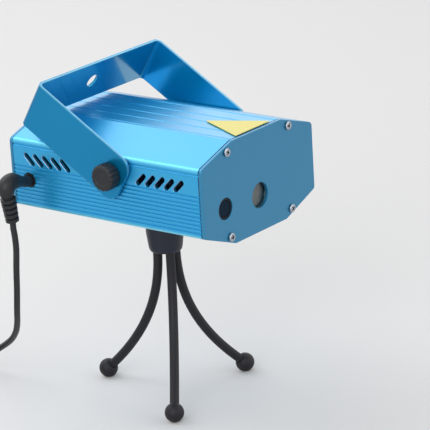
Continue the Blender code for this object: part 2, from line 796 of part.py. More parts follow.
def make_grating_drive():
    """Grating wheel on the carrier's boss, and the motor's pinion in mesh with it."""
    wheel_y = FRONT_Y + WHEEL_FROM_FRONT
    centre = (0, wheel_y, APERTURE_Z)
    white = finish("grating_wheel_white_plastic", (0.82, 0.82, 0.8), 0.45)
    half_tooth = math.pi / WHEEL_TEETH
    outline = gear_outline(WHEEL_TEETH, PINION_DIRECTION + half_tooth)
    wheel = put("grating_wheel", prism(outline, WHEEL_THICKNESS, -WHEEL_THICKNESS), white, centre, TO_FRONT)
    bore = rod(BOSS_RADIUS + RUNNING, 3 * WHEEL_THICKNESS, -2 * WHEEL_THICKNESS, 32)
    combine(wheel, tool("wheel_bore", bore, centre, TO_FRONT), "DIFFERENCE")
    film = finish("grating_film_clear", (0.8, 0.9, 0.95), 0.1, 0.0, 0.5)
    rim = BOSS_RADIUS + 2 * TOOTH_MODULE
    put("grating_film", rod(rim, FILM_THICKNESS, GAP, 32), film, centre, TO_FRONT, 30)

    carrier_front = wheel_y + WHEEL_THICKNESS + GAP
    reach = TOOTH_MODULE * (WHEEL_TEETH + PINION_TEETH) / 2
    pinion_x = reach * math.cos(PINION_DIRECTION)
    pinion_rise = reach * math.sin(PINION_DIRECTION)
    floor = SHELL_FLOOR_Z + GAP - APERTURE_Z
    top = pinion_rise + MOTOR_RADIUS + CARRIER_THICKNESS
    foot = BOTTOM_FLAT / 2 - SHELL_WALL
    wide = pinion_x + MOTOR_RADIUS + CARRIER_THICKNESS
    outline = [(-foot, floor), (foot, floor), (wide, floor / 2), (wide, top), (-foot, top)]
    grey = finish("wheel_carrier_grey_plastic", (0.25, 0.25, 0.27), 0.55)
    carrier_place = (0, carrier_front + CARRIER_THICKNESS, APERTURE_Z)
    carrier = put("wheel_carrier", prism(outline, CARRIER_THICKNESS), grey, carrier_place, TO_FRONT, 30)
    boss = rod(BOSS_RADIUS, CARRIER_THICKNESS / 2 + WHEEL_THICKNESS + GAP, CARRIER_THICKNESS / 2, 32)
    combine(carrier, tool("carrier_boss", boss, carrier_place, TO_FRONT), "UNION")
    beam = rod(BEAM_RADIUS, 8 * CARRIER_THICKNESS, -2 * CARRIER_THICKNESS, 32)
    shaft = rod(MOTOR_SHAFT_RADIUS + RUNNING, 8 * CARRIER_THICKNESS, -2 * CARRIER_THICKNESS, 12)
    holes = join(beam, moved(shaft, (pinion_x, pinion_rise, 0)))
    combine(carrier, tool("carrier_holes", holes, carrier_place, TO_FRONT), "DIFFERENCE")

    pinion_place = (pinion_x, wheel_y, APERTURE_Z + pinion_rise)
    brass = finish("drive_pinion_brass", (0.75, 0.55, 0.22), 0.35, 1.0)
    teeth = gear_outline(PINION_TEETH, PINION_DIRECTION + math.pi)
    pinion = put("drive_pinion", prism(teeth, WHEEL_THICKNESS, -WHEEL_THICKNESS), brass, pinion_place, TO_FRONT)
    pinion_bore = rod(MOTOR_SHAFT_RADIUS + RUNNING, 3 * WHEEL_THICKNESS, -2 * WHEEL_THICKNESS, 12)
    combine(pinion, tool("pinion_bore", pinion_bore, pinion_place, TO_FRONT), "DIFFERENCE")
    motor_front = carrier_front + CARRIER_THICKNESS + GAP
    sunk = MOTOR_LENGTH / 2
    shaft_length = motor_front + sunk - wheel_y
    shaft = rod(MOTOR_SHAFT_RADIUS, shaft_length, -shaft_length, 12)
    put("motor_shaft", shaft, steel("motor_shaft"), pinion_place, TO_FRONT, 30)
    motor_place = (pinion_x, motor_front, pinion_place[2])
    hole = MOTOR_SHAFT_RADIUS + RUNNING
    profile = [
        (hole, -sunk - GAP),
        (hole, 0),
        (MOTOR_RADIUS - GAP, 0),
        (MOTOR_RADIUS, -GAP),
        (MOTOR_RADIUS, -MOTOR_LENGTH),
    ]
    put("wheel_motor", turned(profile, 24), steel("wheel_motor"), motor_place, TO_FRONT, 30)


def make_lasers():
    """Two laser modules side by side in one aluminium block."""
    floor = SHELL_FLOOR_Z + GAP
    height = APERTURE_Z + MODULE_RADIUS + CARRIER_THICKNESS - floor
    start = FRONT_Y + BLOCK_FROM_FRONT
    place = (0, start, APERTURE_Z)
    centre = (0, floor + height / 2 - APERTURE_Z, -BLOCK_LENGTH / 2)
    metal = finish("laser_block_aluminium", (0.72, 0.73, 0.75), 0.4, 1.0)
    body = put("laser_block", block(BLOCK_WIDTH, height, BLOCK_LENGTH, centre), metal, place, TO_FRONT)
    bores = [
        moved(rod(MODULE_RADIUS + GAP, 2 * BLOCK_LENGTH, -1.5 * BLOCK_LENGTH, 20), (x, 0, 0))
        for x in (-MODULE_SPACING / 2, MODULE_SPACING / 2)
    ]
    combine(body, tool("module_bores", join(*bores), place, TO_FRONT), "DIFFERENCE")
    front = FRONT_Y + MODULE_FROM_FRONT
    lens_bore = MODULE_RADIUS / 3
    profile = [
        (lens_bore, -lens_bore),
        (lens_bore, 0),
        (MODULE_RADIUS - GAP, 0),
        (MODULE_RADIUS, -GAP),
        (MODULE_RADIUS, -MODULE_LENGTH),
    ]
    for word, side, colour in (("green", -1, (0.62, 0.5, 0.25)), ("red", 1, (0.7, 0.6, 0.35))):
        name = f"{word}_laser_module"
        material = finish(name + "_brass", colour, 0.35, 1.0)
        place = (side * MODULE_SPACING / 2, front, APERTURE_Z)
        put(name, turned(profile, 20), material, place, TO_FRONT, 30)


def make_controls():
    """Board, speed control and mode switch behind the rear plate."""
    inner_face = REAR_Y - PLATE_THICKNESS
    board_y = inner_face - BOARD_FROM_REAR
    green = finish("circuit_board_green", (0.05, 0.25, 0.1), 0.5)
    board = block(BOARD_WIDTH, BOARD_HEIGHT, BOARD_THICKNESS, (0, 0, -BOARD_THICKNESS / 2))
    put("circuit_board", board, green, (0, board_y, MIDDLE_Z), TO_REAR)

    depth = BOARD_FROM_REAR - 2 * GAP
    bushing = SPEED_SHAFT_RADIUS + RUNNING + BUSHING_WALL
    knob_z = MIDDLE_Z - SPEED_KNOB_DROP
    pot_place = (SPEED_KNOB_X, board_y + GAP, knob_z)
    pot = put(
        "speed_control",
        block(POT_SIZE, POT_SIZE, depth, (0, 0, depth / 2)),
        finish("speed_control_grey", (0.35, 0.36, 0.38), 0.45, 0.5),
        pot_place,
        TO_REAR,
    )
    collar = rod(bushing, depth / 2 + GAP + PLATE_THICKNESS, depth / 2, 20)
    combine(pot, tool("control_bushing", collar, pot_place, TO_REAR), "UNION")
    bore = rod(SPEED_SHAFT_RADIUS + RUNNING, 2 * depth, depth / 2, 20)
    combine(pot, tool("control_bore", bore, pot_place, TO_REAR), "DIFFERENCE")

    knob_place = (SPEED_KNOB_X, REAR_Y + GAP, knob_z)
    sunk = SPEED_KNOB_HEIGHT * 0.6
    shaft_start = -(PLATE_THICKNESS + depth / 2)
    shaft = rod(SPEED_SHAFT_RADIUS, sunk - GAP - shaft_start, shaft_start, 20)
    put("speed_shaft", shaft, steel("speed_shaft"), knob_place, TO_REAR, 30)
    crown = SPEED_KNOB_RADIUS * 0.86
    profile = [
        (SPEED_SHAFT_RADIUS + RUNNING, sunk),
        (SPEED_SHAFT_RADIUS + RUNNING, 0),
        (SPEED_KNOB_RADIUS, 0),
        (SPEED_KNOB_RADIUS, SPEED_KNOB_HEIGHT / 6),
        (crown, SPEED_KNOB_HEIGHT / 5, 2 * KNOB_FLUTE_DEPTH),
        (crown, SPEED_KNOB_HEIGHT - 2 * GAP, 2 * KNOB_FLUTE_DEPTH),
        (crown - 3 * GAP, SPEED_KNOB_HEIGHT),
    ]
    knob = turned(profile, 3 * SPEED_KNOB_FLUTES, SPEED_KNOB_FLUTES)
    put("speed_knob", knob, black_plastic("speed_knob"), knob_place, TO_REAR, 30)

    switch_z = MIDDLE_Z - SWITCH_DROP
    case_place = (SWITCH_X, board_y + GAP, switch_z)
    case = put(
        "mode_switch_case",
        block(SWITCH_WIDTH, SWITCH_HEIGHT, depth, (0, 0, depth / 2)),
        steel("mode_switch_case"),
        case_place,
        TO_REAR,
    )
    room = block(
        SLIDER_WIDTH + 2 * SWITCH_TRAVEL + 2 * GAP,
        SLIDER_HEIGHT + 2 * GAP,
        depth,
        (0, 0, depth),
    )
    combine(case, tool("switch_room", room, case_place, TO_REAR), "DIFFERENCE")
    low = -(PLATE_THICKNESS + GAP + depth / 2 - GAP)
    slider_height = SLIDER_PROUD - low
    slider = block(SLIDER_WIDTH, SLIDER_HEIGHT, slider_height, (0, 0, low + slider_height / 2))
    put("mode_slider", slider, black_plastic("mode_slider"), (SWITCH_X, REAR_Y, switch_z), TO_REAR)


def make_jack():
    """The round socket behind the side wall, its nose in the hole, with its centre pin."""
    behind = -SHELL_WALL - GAP
    profile = [
        (JACK_PIN_RADIUS, -2 * GAP),
        (JACK_PIN_RADIUS, -JACK_DEPTH + SHELL_WALL),
        (JACK_BORE_RADIUS, -JACK_DEPTH + SHELL_WALL),
        (JACK_BORE_RADIUS, 0),
        (JACK_NOSE_RADIUS, 0),
        (JACK_NOSE_RADIUS, behind),
        (JACK_RADIUS, behind),
        (JACK_RADIUS, -JACK_DEPTH),
    ]
    place = (-HALF_WIDTH, JACK_Y, JACK_Z)
    put("power_jack", turned(profile, 20), black_plastic("power_jack"), place, TO_LEFT, 30)


def make_tripod():
    """Head, rubber pad, camera stud, nut in the housing, and three bendy legs."""
    axis = (0, TRIPOD_Y, 0)
    nut_ring = [
        (TRIPOD_STUD_RADIUS + GAP, 0),
        (TRIPOD_NUT_RADIUS, 0),
        (TRIPOD_NUT_RADIUS, TRIPOD_NUT_HEIGHT),
        (TRIPOD_STUD_RADIUS + GAP, TRIPOD_NUT_HEIGHT),
    ]
    nut_place = (0, TRIPOD_Y, SHELL_FLOOR_Z + GAP)
    put("tripod_nut", ring_solid(nut_ring, 24), steel("tripod_nut"), nut_place, UPRIGHT, 30)
    pad_ring = [
        (TRIPOD_STUD_RADIUS + GAP, 0),
        (HEAD_TOP_RADIUS - GAP, 0),
        (HEAD_TOP_RADIUS - GAP, PAD_THICKNESS),
        (TRIPOD_STUD_RADIUS + GAP, PAD_THICKNESS),
    ]
    pad_place = (0, TRIPOD_Y, HEAD_TOP_Z + GAP)
    put("tripod_pad", ring_solid(pad_ring, 28), black_rubber("tripod_pad"), pad_place, UPRIGHT, 30)

    sunk = HEAD_HEIGHT / 3
    stud_top = UNDERSIDE_Z + TRIPOD_STUD_RISE
    stud = rod(TRIPOD_STUD_RADIUS, stud_top - (HEAD_TOP_Z - sunk), 0, 20)
    stud_place = (0, TRIPOD_Y, HEAD_TOP_Z - sunk)
    put("tripod_stud", stud, steel("tripod_stud"), stud_place, UPRIGHT, 30)

    lip = HEAD_BOTTOM_RADIUS + (HEAD_TOP_RADIUS - HEAD_BOTTOM_RADIUS) * 0.3
    profile = [
        (TRIPOD_STUD_RADIUS + GAP, HEAD_HEIGHT - sunk - GAP),
        (TRIPOD_STUD_RADIUS + GAP, HEAD_HEIGHT),
        (HEAD_TOP_RADIUS - GAP, HEAD_HEIGHT),
        (HEAD_TOP_RADIUS, HEAD_HEIGHT - GAP),
        (HEAD_TOP_RADIUS, HEAD_HEIGHT * 0.55),
        (lip, HEAD_HEIGHT * 0.12),
        (HEAD_BOTTOM_RADIUS, HEAD_HEIGHT * 0.04),
        (HEAD_BOTTOM_RADIUS - 2 * GAP, 0),
    ]
    head_place = (0, TRIPOD_Y, HEAD_BOTTOM_Z)
    head = put("tripod_head", turned(profile, 28), black_plastic("tripod_head"), head_place, UPRIGHT, 40)
    sockets = []
    for angle in LEG_ROOT_ANGLES:
        root = (LEG_ROOT_RADIUS * math.cos(angle), LEG_ROOT_RADIUS * math.sin(angle), 0)
        length = LEG_SOCKET_DEPTH + GAP
        sockets.append(moved(rod(LEG_RADIUS + RUNNING, 2 * length, -length, 12), root))
    combine(head, tool("leg_sockets", join(*sockets), head_place), "DIFFERENCE")
    for word, root, foot in zip(("left", "front", "right"), LEG_ROOT_ANGLES, FOOT_ANGLES):
        make_leg(word, Vector(axis), root, foot)


def make_leg(word, axis, root_angle, foot_angle):
    """One bendy leg from its socket in the head to its rubber ball."""
    root = Vector((math.cos(root_angle), math.sin(root_angle), 0)) * LEG_ROOT_RADIUS
    foot = Vector((math.cos(foot_angle), math.sin(foot_angle), 0)) * FOOT_CIRCLE_RADIUS
    foot_z = FOOT_RADIUS - FOOT_FLAT
    drop = HEAD_BOTTOM_Z - foot_z
    points = [axis + root + Vector((0, 0, HEAD_BOTTOM_Z + LEG_SOCKET_DEPTH))]
    steps = 14
    for k in range(steps + 1):
        share = k / steps
        flat = root.lerp(foot, share**LEG_CURVE)
        points.append(axis + flat + Vector((0, 0, HEAD_BOTTOM_Z - drop * share)))
    centre = points.pop()
    along = (centre - points[-1]).normalized()
    points[-1] = centre - along * (FOOT_RADIUS - FOOT_SOCKET_DEPTH + GAP)
    name = f"{word}_leg"
    tube(name, points, LEG_RADIUS, 2, black_rubber(name))
    ball = []
    low = math.asin((FOOT_RADIUS - FOOT_FLAT) / FOOT_RADIUS)
    rings = 6
    for k in range(rings + 1):
        angle = -low + (low + math.radians(80)) * k / rings
        ball.append((FOOT_RADIUS * math.cos(angle), FOOT_RADIUS * math.sin(angle)))
    foot_name = f"{word}_foot"
    body = put(foot_name, turned(ball, 16), black_rubber(foot_name), centre, UPRIGHT, 40)
    length = 2 * FOOT_RADIUS
    socket = rod(LEG_RADIUS + RUNNING, length, -length - (FOOT_RADIUS - FOOT_SOCKET_DEPTH), 12)
    face = along.to_track_quat("Z", "Y").to_euler()
    combine(body, tool(foot_name, socket, centre, face), "DIFFERENCE")


def tube(name, points, radius, resolution, material):
    """A round tube with flat ends along the points."""
    curve = bpy.data.curves.new(name, "CURVE")
    curve.dimensions = "3D"
    curve.bevel_depth = radius
    curve.bevel_resolution = resolution
    curve.resolution_u = 1
    curve.render_resolution_u = 0
    curve.use_fill_caps = True
    curve.twist_mode = "MINIMUM"
    spline = curve.splines.new("POLY")
    spline.points.add(len(points) - 1)
    for point, place in zip(spline.points, points):
        point.co = (*place, 1)
    curve.materials.append(material)
    thing = bpy.data.objects.new(name, curve)
    bpy.context.collection.objects.link(thing)
    return thing


def make_decal():
    """A plain triangle on the top, its base along the front edge."""
    wide = DECAL_BASE / 2
    corners = [(-wide, 0), (wide, 0), (0, DECAL_HEIGHT)]
    outline = rounded(corners, [DECAL_CORNER] * 3, 3)
    yellow = finish("top_decal_yellow", (0.92, 0.88, 0.45), 0.5)
    place = (0, FRONT_Y + DECAL_FROM_FRONT, TOP_Z + GAP)
    put("top_decal", prism(outline, DECAL_THICKNESS), yellow, place)


def smooth_through(points, spacing):
    """Reads a smooth curve through the points, at even steps along it."""
    fine = []
    for k in range(len(points) - 1):
        before = points[k - 1] if k else points[0] * 2 - points[1]
        after = points[k + 2] if k + 2 < len(points) else points[-1] * 2 - points[-2]
        here, there = points[k], points[k + 1]
        for step in range(16):
            t = step / 16
            fine.append(
                here
                + (there - before) * (t / 2)
                + (before * 2 - here * 5 + there * 4 - after) * (t * t / 2)
                + (here * 3 - before - there * 3 + after) * (t**3 / 2)
            )
    fine.append(points[-1])
    gaps = [(b - a).length for a, b in zip(fine, fine[1:])]
    count = max(2, round(sum(gaps) / spacing))
    step = sum(gaps) / count
    even = [fine[0]]
    walked, wanted = 0.0, step
    for a, b, gap in zip(fine, fine[1:], gaps):
        while walked + gap >= wanted - 1e-9 and len(even) < count:
            even.append(a.lerp(b, (wanted - walked) / gap))
            wanted += step
        walked += gap
    even.append(fine[-1])
    return even


def swept(points, radii, steps):
    """Rings of the given radii, square to a path, as one closed shape."""
    rings = []
    normal = Vector((0, 1, 0))
    for k, (point, radius) in enumerate(zip(points, radii)):
        ahead = points[min(k + 1, len(points) - 1)] - points[max(k - 1, 0)]
        along = ahead.normalized()
        side = (normal - along * normal.dot(along)).normalized()
        other = along.cross(side)
        rings.append([point + side * x + other * y for x, y in circle(radius, steps)])
    return loft(rings)


# The plug's moulding, as steps out from the wall and up from the socket's axis
PLUG_PATH = [
    (0.0000, 0.0000),
    (0.0022, 0.0000),
    (0.0044, 0.0006),
    (0.0072, 0.0016),
    (0.0108, 0.0026),
    (0.0139, 0.0030),
    (0.0165, 0.0020),
    (0.0174, -0.0005),
    (0.0171, -0.0026),
]
RELIEF_START = (0.0168, -0.0038)
RELIEF_LEAN = 0.0022  # back towards the wall, over its length

# The cord's route from the plug to the coil
CORD_ROUTE = [
    (-0.0606, 0.0447, 0.0947),
    (-0.0601, 0.0450, 0.0877),
    (-0.0591, 0.0470, 0.0762),
    (-0.0565, 0.0502, 0.0640),
    (-0.0519, 0.0556, 0.0505),
    (-0.0475, 0.0603, 0.0416),
    (-0.0431, 0.0658, 0.0341),
    (-0.0392, 0.0724, 0.0276),
    (-0.0360, 0.0797, 0.0222),
    (-0.0336, 0.0880, 0.0168),
    (-0.0325, 0.0970, 0.0107),
    (-0.0322, 0.1060, 0.0055),
    (-0.0322, 0.1135, 0.0026),
]
COIL_CENTRE = (-0.0565, 0.1210)
ADAPTER_PLACE = (-0.1030, 0.0990)  # middle of the face that the cord enters
TAIL_ROUTE = [
    (-0.0805, 0.1100, 0.0048),
    (-0.0791, 0.1020, 0.0034),
    (-0.0776, 0.0940, 0.0022),
    (-0.0772, 0.0860, 0.0017),
    (-0.0788, 0.0785, 0.0017),
    (-0.0832, 0.0729, 0.0017),
    (-0.0900, 0.0706, 0.0021),
    (-0.0968, 0.0727, 0.0040),
    (-0.1013, 0.0765, 0.0068),
]


def relief_end():
    """Where the cord leaves the plug's moulding."""
    outer = -(HALF_WIDTH + GAP)
    x = outer - RELIEF_START[0] + RELIEF_LEAN
    return Vector((x, JACK_Y, JACK_Z + RELIEF_START[1] - RELIEF_LENGTH))


def make_plug():
    """The angled moulding, its ribbed strain relief and the metal barrel."""
    outer = -(HALF_WIDTH + GAP)
    path = [Vector((outer - out, JACK_Y, JACK_Z + up)) for out, up in PLUG_PATH]
    elbow = PLUG_ELBOW_RADIUS
    sleeve = PLUG_SLEEVE_RADIUS
    middle = (sleeve + elbow) / 2
    radii = [sleeve, sleeve, sleeve, middle, elbow, elbow, elbow, middle]
    bend = smooth_through(path, 0.0019)
    last = len(bend) - 1
    sizes = []
    for k in range(len(bend)):
        at = k / last * (len(radii) - 1)
        low = min(int(at), len(radii) - 2)
        sizes.append(radii[low] + (radii[low + 1] - radii[low]) * (at - low))
    top = Vector((outer - RELIEF_START[0], JACK_Y, JACK_Z + RELIEF_START[1]))
    end = relief_end()
    rib_levels = [(0.1, RELIEF_NECK), (0.35, RELIEF_RADIUS), (0.75, RELIEF_RADIUS), (1.0, RELIEF_NECK)]
    for rib in range(RELIEF_RIBS):
        for share, radius in rib_levels:
            along = (rib + share) / RELIEF_RIBS
            bend.append(top.lerp(end, along))
            taper = 1 - RELIEF_TAPER * along
            sizes.append(radius * taper)
    put("dc_plug", swept(bend, sizes, 12), black_rubber("dc_plug"), smooth=35)
    barrel = [
        (BARREL_RADIUS - BARREL_WALL, 0),
        (BARREL_RADIUS, 0),
        (BARREL_RADIUS, BARREL_LENGTH),
        (BARREL_RADIUS - BARREL_WALL, BARREL_LENGTH),
    ]
    place = (outer + GAP, JACK_Y, JACK_Z)
    put("dc_plug_barrel", ring_solid(barrel, 20), steel("dc_plug_barrel"), place, TO_RIGHT, 30)


def coil_points():
    """Two layers of turns: in at floor level, up at the middle, and out on top."""
    pitch = 2 * CORD_RADIUS + CORD_GAP
    floor = CORD_RADIUS
    layer = math.sqrt(pitch**2 - (pitch / 4) ** 2)
    turns = 2 * COIL_TURNS + 0.5
    points = []
    count = round(turns * COIL_POINTS)
    for k in range(count + 1):
        turn = k / COIL_POINTS
        if turn <= COIL_TURNS:
            radius, lift = COIL_RADIUS - pitch * turn, 0.0
        elif turn <= COIL_TURNS + 0.5:
            share = (turn - COIL_TURNS) / 0.5
            radius = COIL_RADIUS - pitch * COIL_TURNS - CLIMB_DIP * math.sin(math.pi * share)
            lift = layer * (1 - math.cos(math.pi * share)) / 2
        else:
            out = turn - COIL_TURNS - 0.5
            radius, lift = COIL_RADIUS - pitch * (COIL_TURNS - out), layer
        angle = 2 * math.pi * turn
        x = COIL_CENTRE[0] + radius * math.cos(angle)
        y = COIL_CENTRE[1] + radius * math.sin(angle)
        points.append(Vector((x, y, floor + lift)))
    return points


def least_gap(points):
    """The least clear distance between one turn and another."""
    least = 1.0
    apart = COIL_POINTS // 2
    for j, a in enumerate(points):
        for k in range(j + apart, len(points) - 1):
            b, c = points[k], points[k + 1]
            span = c - b
            share = max(0.0, min(1.0, (a - b).dot(span) / span.length_squared))
            least = min(least, (b + span * share - a).length)
    return least - 2 * CORD_RADIUS


def free_run(start, leaving, points, end, arriving):
    """A smooth route between two ends, each straight for one cord diameter."""
    straight = 2 * CORD_RADIUS
    first = start + leaving * straight
    last = end - arriving * straight
    middle = smooth_through([first, *(Vector(point) for point in points), last], 2.3 * straight)
    return [start, *middle, end]


def make_cord():
    """The free run, the coil of the spare length, and the tail to the adapter."""
    turns = coil_points()
    entry = (turns[1] - turns[0]).normalized()
    leave = (turns[-1] - turns[-2]).normalized()
    straight = 2 * CORD_RADIUS
    coil = [turns[0] - entry * straight, *turns, turns[-1] + leave * straight]
    tube("power_cord_coil", coil, CORD_RADIUS, 1, black_rubber("power_cord_coil"))
    print(f"coil: least gap between turns {1000 * least_gap(turns):.2f} mm")

    down = Vector((0, 0, -1))
    run = free_run(relief_end() + down * GAP, down, CORD_ROUTE, coil[0] - entry * GAP, entry)
    tube("power_cord_run", run, CORD_RADIUS, 2, black_rubber("power_cord_run"))

    x, y = ADAPTER_PLACE
    socket = Vector((x, y - GAP - ADAPTER_RELIEF_LENGTH - GAP, ADAPTER_ENTRY))
    tail = free_run(coil[-1] + leave * GAP, leave, TAIL_ROUTE, socket, Vector((0, 1, 0)))
    tube("power_cord_tail", tail, CORD_RADIUS, 2, black_rubber("power_cord_tail"))
    total = 0.0
    for line in (run, coil, tail):
        total += sum((b - a).length for a, b in zip(line, line[1:]))
    print(f"cord: {total:.3f} m from plug to adapter")


def adapter_half(name, low, high, soft_low, soft_high):
    """A slice of the adapter's body between two heights, its outer rim chamfered."""
    half_width, half_length = ADAPTER_WIDTH / 2, ADAPTER_LENGTH / 2
    rings = []
    soft = ADAPTER_CHAMFER
    levels = [(soft if soft_low else 0, low), (0, low + soft), (0, high - soft)]
    levels.append((soft if soft_high else 0, high))
    for inset, height in levels:
        x, y = half_width - inset, half_length - inset
        corners = [(-x, -y), (x, -y), (x, y), (-x, y)]
        outline = rounded(corners, [ADAPTER_CORNER - inset] * 4, 4)
        rings.append([(a, b, height) for a, b in outline])
    x, y = ADAPTER_PLACE
    put(name, loft(rings), black_plastic(name), (x, y + half_length, 0), UPRIGHT, 40)


def make_adapter():
    """The wall adapter on its back: case, cover, two round pins and the cord's relief."""
    x, y = ADAPTER_PLACE
    split = ADAPTER_HEIGHT - ADAPTER_COVER
    adapter_half("adapter_case", 0, split - GAP, True, False)
    adapter_half("adapter_cover", split, ADAPTER_HEIGHT, False, True)
    middle = y + ADAPTER_LENGTH / 2
    profile = [
        (PIN_RADIUS, 0),
        (PIN_RADIUS, PIN_LENGTH - PIN_RADIUS),
        (PIN_RADIUS * 0.8, PIN_LENGTH - PIN_RADIUS * 0.3),
        (PIN_RADIUS * 0.4, PIN_LENGTH),
    ]
    for number, side in enumerate((-1, 1), 1):
        name = f"adapter_pin_{number}"
        place = (x + side * PIN_SPACING / 2, middle, ADAPTER_HEIGHT + GAP)
        put(name, turned(profile, 16), steel(name), place, UPRIGHT, 30)
    tip = CORD_RADIUS * 1.3
    rear = ADAPTER_RELIEF_RADIUS
    profile = [
        (rear, 0),
        (rear, ADAPTER_RELIEF_LENGTH * 0.15),
        (tip + (rear - tip) * 0.5, ADAPTER_RELIEF_LENGTH * 0.5),
        (tip, ADAPTER_RELIEF_LENGTH),
    ]
    place = (x, y - GAP, ADAPTER_ENTRY)
    put("adapter_relief", turned(profile, 16), black_rubber("adapter_relief"), place, TO_FRONT, 40)


def build():
    clear_scene()
    make_shell()
    make_front_plate()
    make_rear_plate()
    make_plate_screws()
    make_bracket()
    make_pivot(-1, "left", TO_LEFT)
    make_pivot(1, "right", TO_RIGHT)
    make_sensor()
    make_window()
    make_grating_drive()
    make_lasers()
    make_controls()
    make_jack()
    make_tripod()
    make_decal()
    make_plug()
    make_cord()
    make_adapter()


build()
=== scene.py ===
# %% [markdown]
# A pocket laser projector on its desk tripod, as a lesson in cells.
# The part's solids are already there as a fixed frame, in metres, +Z up. Each
# visible piece gets a finer surface, worked out with numpy, or a better finish
# on its solid.

# %% The fixed frame
import json
import math

import bmesh
import bpy
import numpy as np
from mathutils import Matrix, Vector

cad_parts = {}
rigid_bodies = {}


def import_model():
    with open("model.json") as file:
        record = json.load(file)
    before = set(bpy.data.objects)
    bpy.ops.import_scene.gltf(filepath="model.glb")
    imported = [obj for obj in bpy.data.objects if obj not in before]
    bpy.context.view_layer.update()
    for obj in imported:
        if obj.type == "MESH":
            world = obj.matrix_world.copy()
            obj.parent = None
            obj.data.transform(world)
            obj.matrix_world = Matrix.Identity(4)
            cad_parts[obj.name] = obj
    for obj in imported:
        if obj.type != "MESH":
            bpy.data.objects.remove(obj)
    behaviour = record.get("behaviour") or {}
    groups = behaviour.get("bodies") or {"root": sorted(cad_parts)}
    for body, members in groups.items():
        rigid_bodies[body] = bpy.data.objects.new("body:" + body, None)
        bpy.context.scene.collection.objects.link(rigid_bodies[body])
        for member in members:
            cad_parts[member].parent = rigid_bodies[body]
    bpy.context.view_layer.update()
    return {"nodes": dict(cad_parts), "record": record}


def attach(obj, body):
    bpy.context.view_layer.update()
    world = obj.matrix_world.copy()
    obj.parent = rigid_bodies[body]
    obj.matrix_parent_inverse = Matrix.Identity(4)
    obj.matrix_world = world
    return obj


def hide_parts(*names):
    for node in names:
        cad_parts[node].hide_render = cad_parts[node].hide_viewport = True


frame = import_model()
nodes = frame["nodes"]
FRONT_Y, REAR_Y = -0.06645, 0.05655  # the outer faces of the end plates


def add_object(name, data):
    made = bpy.data.objects.new(name, data)
    bpy.context.collection.objects.link(made)
    return made


# %% [markdown]
# The camera comes first, because it decides what shows. It stands to the left,
# a little above, and far away behind a long lens, so parallel lines nearly stay
# parallel. It is placed by its angles round a point on the object, which is
# easier to judge than a place in space.

# %% The camera
AIM = Vector((-0.01814, -0.05148, 0.10897))
AIM_DISTANCE = 1.3365
AZIMUTH, ELEVATION, ROLL = (math.radians(angle) for angle in (-51.532, 18.312, -3.4176))
FOCAL_LENGTH = 226.05  # mm, on a sensor 36 mm wide

view = bpy.data.cameras.new("view")
view.lens = FOCAL_LENGTH
view.sensor_width = 36.0
camera = add_object("view", view)
turn = Matrix.Rotation(AZIMUTH, 4, "Z") @ Matrix.Rotation(math.pi / 2 - ELEVATION, 4, "X")
turn = turn @ Matrix.Rotation(ROLL, 4, "Z")
camera.matrix_world = Matrix.Translation(AIM + turn.col[2].to_3d() * AIM_DISTANCE) @ turn
bpy.context.scene.camera = camera
print("camera at", [round(v, 3) for v in camera.matrix_world.translation])

# %% [markdown]
# A finish is a small circuit of shader nodes. Three classes keep it readable. A
# Wire is one socket, and arithmetic on wires adds the Math nodes. A Board is a
# tree of nodes, with one method for any other node, and a Paint is a Board with
# a material round it. A page of links by name would hide what is worked out.

# %% Wires that add up
class Wire:
    """One output socket, on which Python's arithmetic works."""

    def __init__(self, board, socket):
        self.board, self.socket = board, socket

    def math(self, operation, *values, clamp=False):
        settings = {"operation": operation, "use_clamp": clamp}
        return self.board.node("ShaderNodeMath", settings, dict(enumerate(values)))

    def __add__(self, other):
        return self.math("ADD", self, other)

    def __sub__(self, other):
        return self.math("SUBTRACT", self, other)

    def __rsub__(self, other):
        return self.math("SUBTRACT", other, self)

    def __mul__(self, other):
        return self.math("MULTIPLY", self, other)

    def __abs__(self):
        return self.math("ABSOLUTE", self)

    def above(self, edge, soft):
        """0 below the edge and 1 above it, with a ramp as wide as soft."""
        return self.math("MULTIPLY_ADD", self, 1 / soft, 0.5 - edge / soft, clamp=True)

    def below(self, edge, soft):
        return 1 - self.above(edge, soft)

    def root(self):
        return self.math("SQRT", self)


# %% One board of nodes
class Board:
    """A node tree, with one way to add a node to it."""

    def __init__(self, tree):
        self.tree = tree

    def node(self, kind, settings=None, inputs=None, output=0):
        made = self.tree.nodes.new(kind)
        for name, value in (settings or {}).items():
            setattr(made, name, value)
        for name, value in (inputs or {}).items():
            self.feed(made.inputs[name], value)
        return Wire(self, made.outputs[output])

    def feed(self, socket, value):
        """Links a wire, or sets a plain value on the socket."""
        if isinstance(value, Wire):
            self.tree.links.new(value.socket, socket)
        else:
            socket.default_value = value


